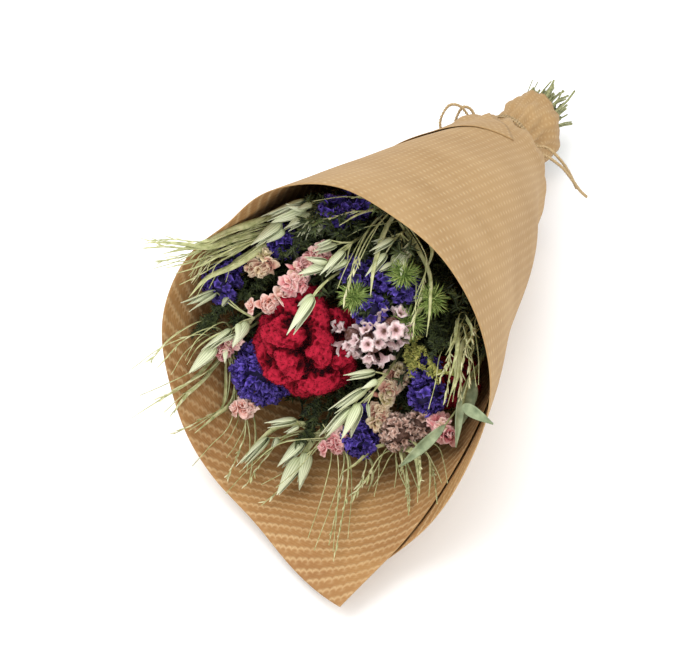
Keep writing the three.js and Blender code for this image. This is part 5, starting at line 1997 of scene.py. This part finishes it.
def make_grass(spec):
    """A bunch of thin grasses: strands, their slim seeds, and flat blades beside them."""
    name = spec["name"]
    draw = draws(len(spec["strands"]) * 41 + round(950 + spec["top"][0]))
    company, spread_at_tip = spec.get("company", USUAL_COMPANY)
    chains, seeds, blades = [], [], []
    for strand in spec["strands"]:
        chain = through([spec["top"], *strand], 7)
        chains.append((chain, list(np.linspace(0.55, 0.28, len(chain)))))
        seeded = [chain]
        for k in range(company):
            near = beside([spec["top"], *strand], SPREAD_AT_TOP, spread_at_tip, draw)
            if any(in_paper(p, 1.2) for p in near) or not in_reach(near[-1]):
                continue
            near = through(near, 5)
            if k == SEEDED_COMPANION:
                seeded.append(near)
            if k % 2 == 0:
                blades.append(blade_along(near, 1.6 + 2.8 * draw(), draw))
            else:
                chains.append((near, list(np.linspace(0.42, 0.24, len(near)))))
        for carrier in seeded:
            for k in range(SEEDS_PER_STRAND):
                share = 0.5 + 0.48 * (k + draw()) / SEEDS_PER_STRAND
                base, leg = spot_on(carrier, share * (len(carrier) - 1))
                forward = unit(carrier[leg + 1] - carrier[leg])
                direction = leaning(forward, 0.1 + 0.35 * draw(), 2 * math.pi * draw())
                length = 4 + 5 * draw()
                tip = base + direction * length
                if not in_paper(tip, 0.5) and in_reach(tip):
                    seeds.append((base, direction, sides(direction)[0], length))
    meshes = [copied(name, seeds, SEEDS, GRASS, 23), skinned_paths(name, chains, GRASS)]
    if blades:
        meshes.append(painted(name, blades, GRASS))
    piece(f"strands_of_{name}", merged(name, meshes), "grass_pale", name)


def make_leaves():
    """Broad grey-green leaves on one stem."""
    draw = draws(431)
    parts, chains = [], []
    for base, tip, width in LEAVES["blades"]:
        base, tip = point(base), point(tip)
        span = tip - base
        length = np.linalg.norm(span)
        direction = unit(span)
        side = unit(np.cross(direction, FACING))
        out = np.cross(side, direction)
        grid, along, across = [], [], []
        for i in range(13):
            t = i / 12
            half = 0.42 * width * max(0.06, math.sin(math.pi * t**0.75)) ** 0.8
            middle = base + direction * length * t + out * (2.5 * math.sin(math.pi * t))
            row = []
            for j in range(7):
                s = (j - 3) / 3
                hollow = 0.45 * s * s + 0.08 * math.sin(9 * t + 2 * s)
                row.append(middle + side * half * s + out * half * hollow)
                along.append(t)
                across.append(s)
            grid.append(row)
        verts, faces = thin_sheet(grid, 0.5)
        parts.append((verts, faces, along * 2, across * 2))
        chains.append(twig(LEAVES["top"], base, 0.9, 0.6, 0.04, draw))
    meshes = [painted("leaves", parts, LEAF), skinned_paths("leaves", chains, STEM)]
    piece("broad_leaves", merged("leaves", meshes), "leaf_green", "leaves")


def make_stems():
    """Every stem from its cut end to its head."""
    for name, _, radius, node in STEMS:
        mesh = skinned_paths(name, [stem_chain(name, radius)], STEM)
        piece(f"stem_of_{name}", mesh, "stem_green", node)


THIN_ENDS = 64
THIN_ENDS_RADIUS = 17.0
THIN_ENDS_START = -46.0


def neck_point(reach, turn, z):
    """A point round the shifted neck's axis."""
    return point((NECK_SHIFT[0] + reach * math.cos(turn), NECK_SHIFT[1] + reach * math.sin(turn), z))


def make_thin_ends():
    """Thin twigs among the cut stems, where they leave the paper's sleeve."""
    draw = draws(77)
    chains = []
    for _ in range(THIN_ENDS):
        turn = 2 * math.pi * draw()
        reach = THIN_ENDS_RADIUS * math.sqrt(draw())
        base = neck_point(reach, turn, THIN_ENDS_START)
        flare = 1.2 + 0.7 * draw()
        tip = neck_point(reach * flare, turn, -90 - 26 * draw())
        if in_reach(tip):
            thick = 0.5 + 0.8 * draw()
            chains.append(twig(base, tip, thick, thick * 0.9, 0.05, draw))
    piece("thin_stem_ends", skinned_paths("thin_stem_ends", chains, STEM), "stem_green")


SHOOTS_PER_STEM = 7
SHOOTS_END = 380.0  # no shoot reaches past here along the axis
SHOOT_NEEDLES = 1.45  # per millimetre
SHOOT_NEEDLE_LENGTH = 7.4


def make_filler():
    """Dark leafy side shoots off the stems, which fill the bouquet between its heads."""
    draw = draws(2024)
    places, chains = [], []
    for name, _, _, _ in STEMS:
        route = [point(p) for p in STEM_PATHS[name]]
        for _ in range(SHOOTS_PER_STEM):
            share = 0.35 + 0.6 * draw()
            base = mix(route[-2], route[-1], share)
            outward = leaning(TOWARDS_FLOWERS, 0.15 + 0.5 * draw(), 2 * math.pi * draw())
            tip = base + outward * (38 + 26 * draw())
            if tip[2] > SHOOTS_END or in_paper(tip, 6):
                continue
            arm = [base, mix(base, tip, 0.5) + leaning(outward, 1.57, 6 * draw()) * 3, tip]
            branches = side_arms(arm, 6, 13, draw)
            for chain in [arm, *branches]:
                chains.append((chain, list(np.linspace(0.6, 0.3, len(chain)))))
                places += needle_places(chain[1:], SHOOT_NEEDLES, SHOOT_NEEDLE_LENGTH, draw)
    meshes = [copied("filler", places, NEEDLES, MOSS, 37), skinned_paths("filler", chains, MOSS)]
    piece("filler_side_shoots", merged("filler", meshes), "moss_dark")


# ---------------------------------------------------------------- making the bouquet

make_tails()
make_tie()
make_paper()
make_stems()
make_thin_ends()
make_filler()

make_crest(COCKSCOMBS[0], CRIMSON, "cockscomb_red")
make_crest(COCKSCOMBS[1], WINE, "cockscomb_dark")

# Each head's finish, slot, florets, their width and how closely they crowd.
PURPLE_LOOK = (PURPLE, "statice_purple", CUPS, 6.4, 0.44)
STATICE_LOOKS = {
    "statice_pale": (PALE, "statice_pale", OPEN_FLORETS, 10.0, 0.14),
    "statice_dusty": (DUSTY, "statice_dusty", CUPS, 6.6, 0.4),
    "statice_mauve": (MAUVE, "statice_mauve", CUPS, 7.0, 0.34),
}
for head in STATICE:
    make_statice(head, *STATICE_LOOKS.get(head["name"], PURPLE_LOOK))

PINK_LOOK = (PINK, "larkspur_pink")
LARKSPUR_LOOKS = {
    "larkspur_1": (BEIGE, "larkspur_beige"),
    "larkspur_3": (SALMON, "larkspur_salmon"),
    "larkspur_4": (SALMON, "larkspur_salmon"),
    "larkspur_6": (BEIGE, "larkspur_beige"),
}
for spike in LARKSPURS:
    make_larkspur(spike, *LARKSPUR_LOOKS.get(spike["name"], PINK_LOOK))

for tuft in TUFTS:
    make_tuft(tuft)
for sprig in SPRIGS[:3]:
    make_sprig(sprig, MOSS, "moss_dark", *MOSSY)
make_sprig(SPRIGS[3], GOLD, "goldenrod", *FEATHERY)
for spray in OATS:
    make_oats(spray)
for bunch in GRASSES:
    make_grass(bunch)
make_leaves()

# ---------------------------------------------------------------- floor and lights


FLOOR_HALF = 6.0  # metres
SKY_STRENGTH = 1.12


def make_floor():
    """A plain pale table top."""
    mesh = bpy.data.meshes.new("table_top")
    corners = [(x * FLOOR_HALF, y * FLOOR_HALF, 0) for x, y in ((-1, -1), (1, -1), (1, 1), (-1, 1))]
    mesh.from_pydata(corners, [], [(0, 1, 2, 3)])
    f = Finish("pale_table", 0.9)
    f.color(f.ramp(f.blotches(900), [(0.3, (0.95, 0.95, 0.95, 1)), (0.7, (0.97, 0.97, 0.97, 1))]))
    mesh.materials.append(f.material)
    floor = bpy.data.objects.new("table_top", mesh)
    bpy.context.scene.collection.objects.link(floor)


def area_light(name, place, aim, size, power):
    """A square soft light, in metres and watts."""
    lamp = bpy.data.lights.new(name, "AREA")
    lamp.size = size
    lamp.energy = power
    obj = bpy.data.objects.new(name, lamp)
    bpy.context.scene.collection.objects.link(obj)
    obj.location = place
    obj.rotation_mode = "QUATERNION"
    obj.rotation_quaternion = (Vector(place) - Vector(aim)).to_track_quat("Z", "Y")


def make_world():
    """Even white light from all round."""
    world = bpy.data.worlds.new("studio")
    world.use_nodes = True
    sky = world.node_tree.nodes["Background"]
    sky.inputs["Color"].default_value = (1, 1, 1, 1)
    sky.inputs["Strength"].default_value = SKY_STRENGTH
    bpy.context.scene.world = world


make_floor()
make_world()
area_light("key", place=(-0.5, -0.6, 1.7), aim=(0, -0.05, 0.05), size=1.5, power=19.5)
area_light("fill", place=(1.2, -1.2, 1.0), aim=(0, -0.1, 0.05), size=1.6, power=12)
bpy.context.scene.view_settings.view_transform = "Standard"
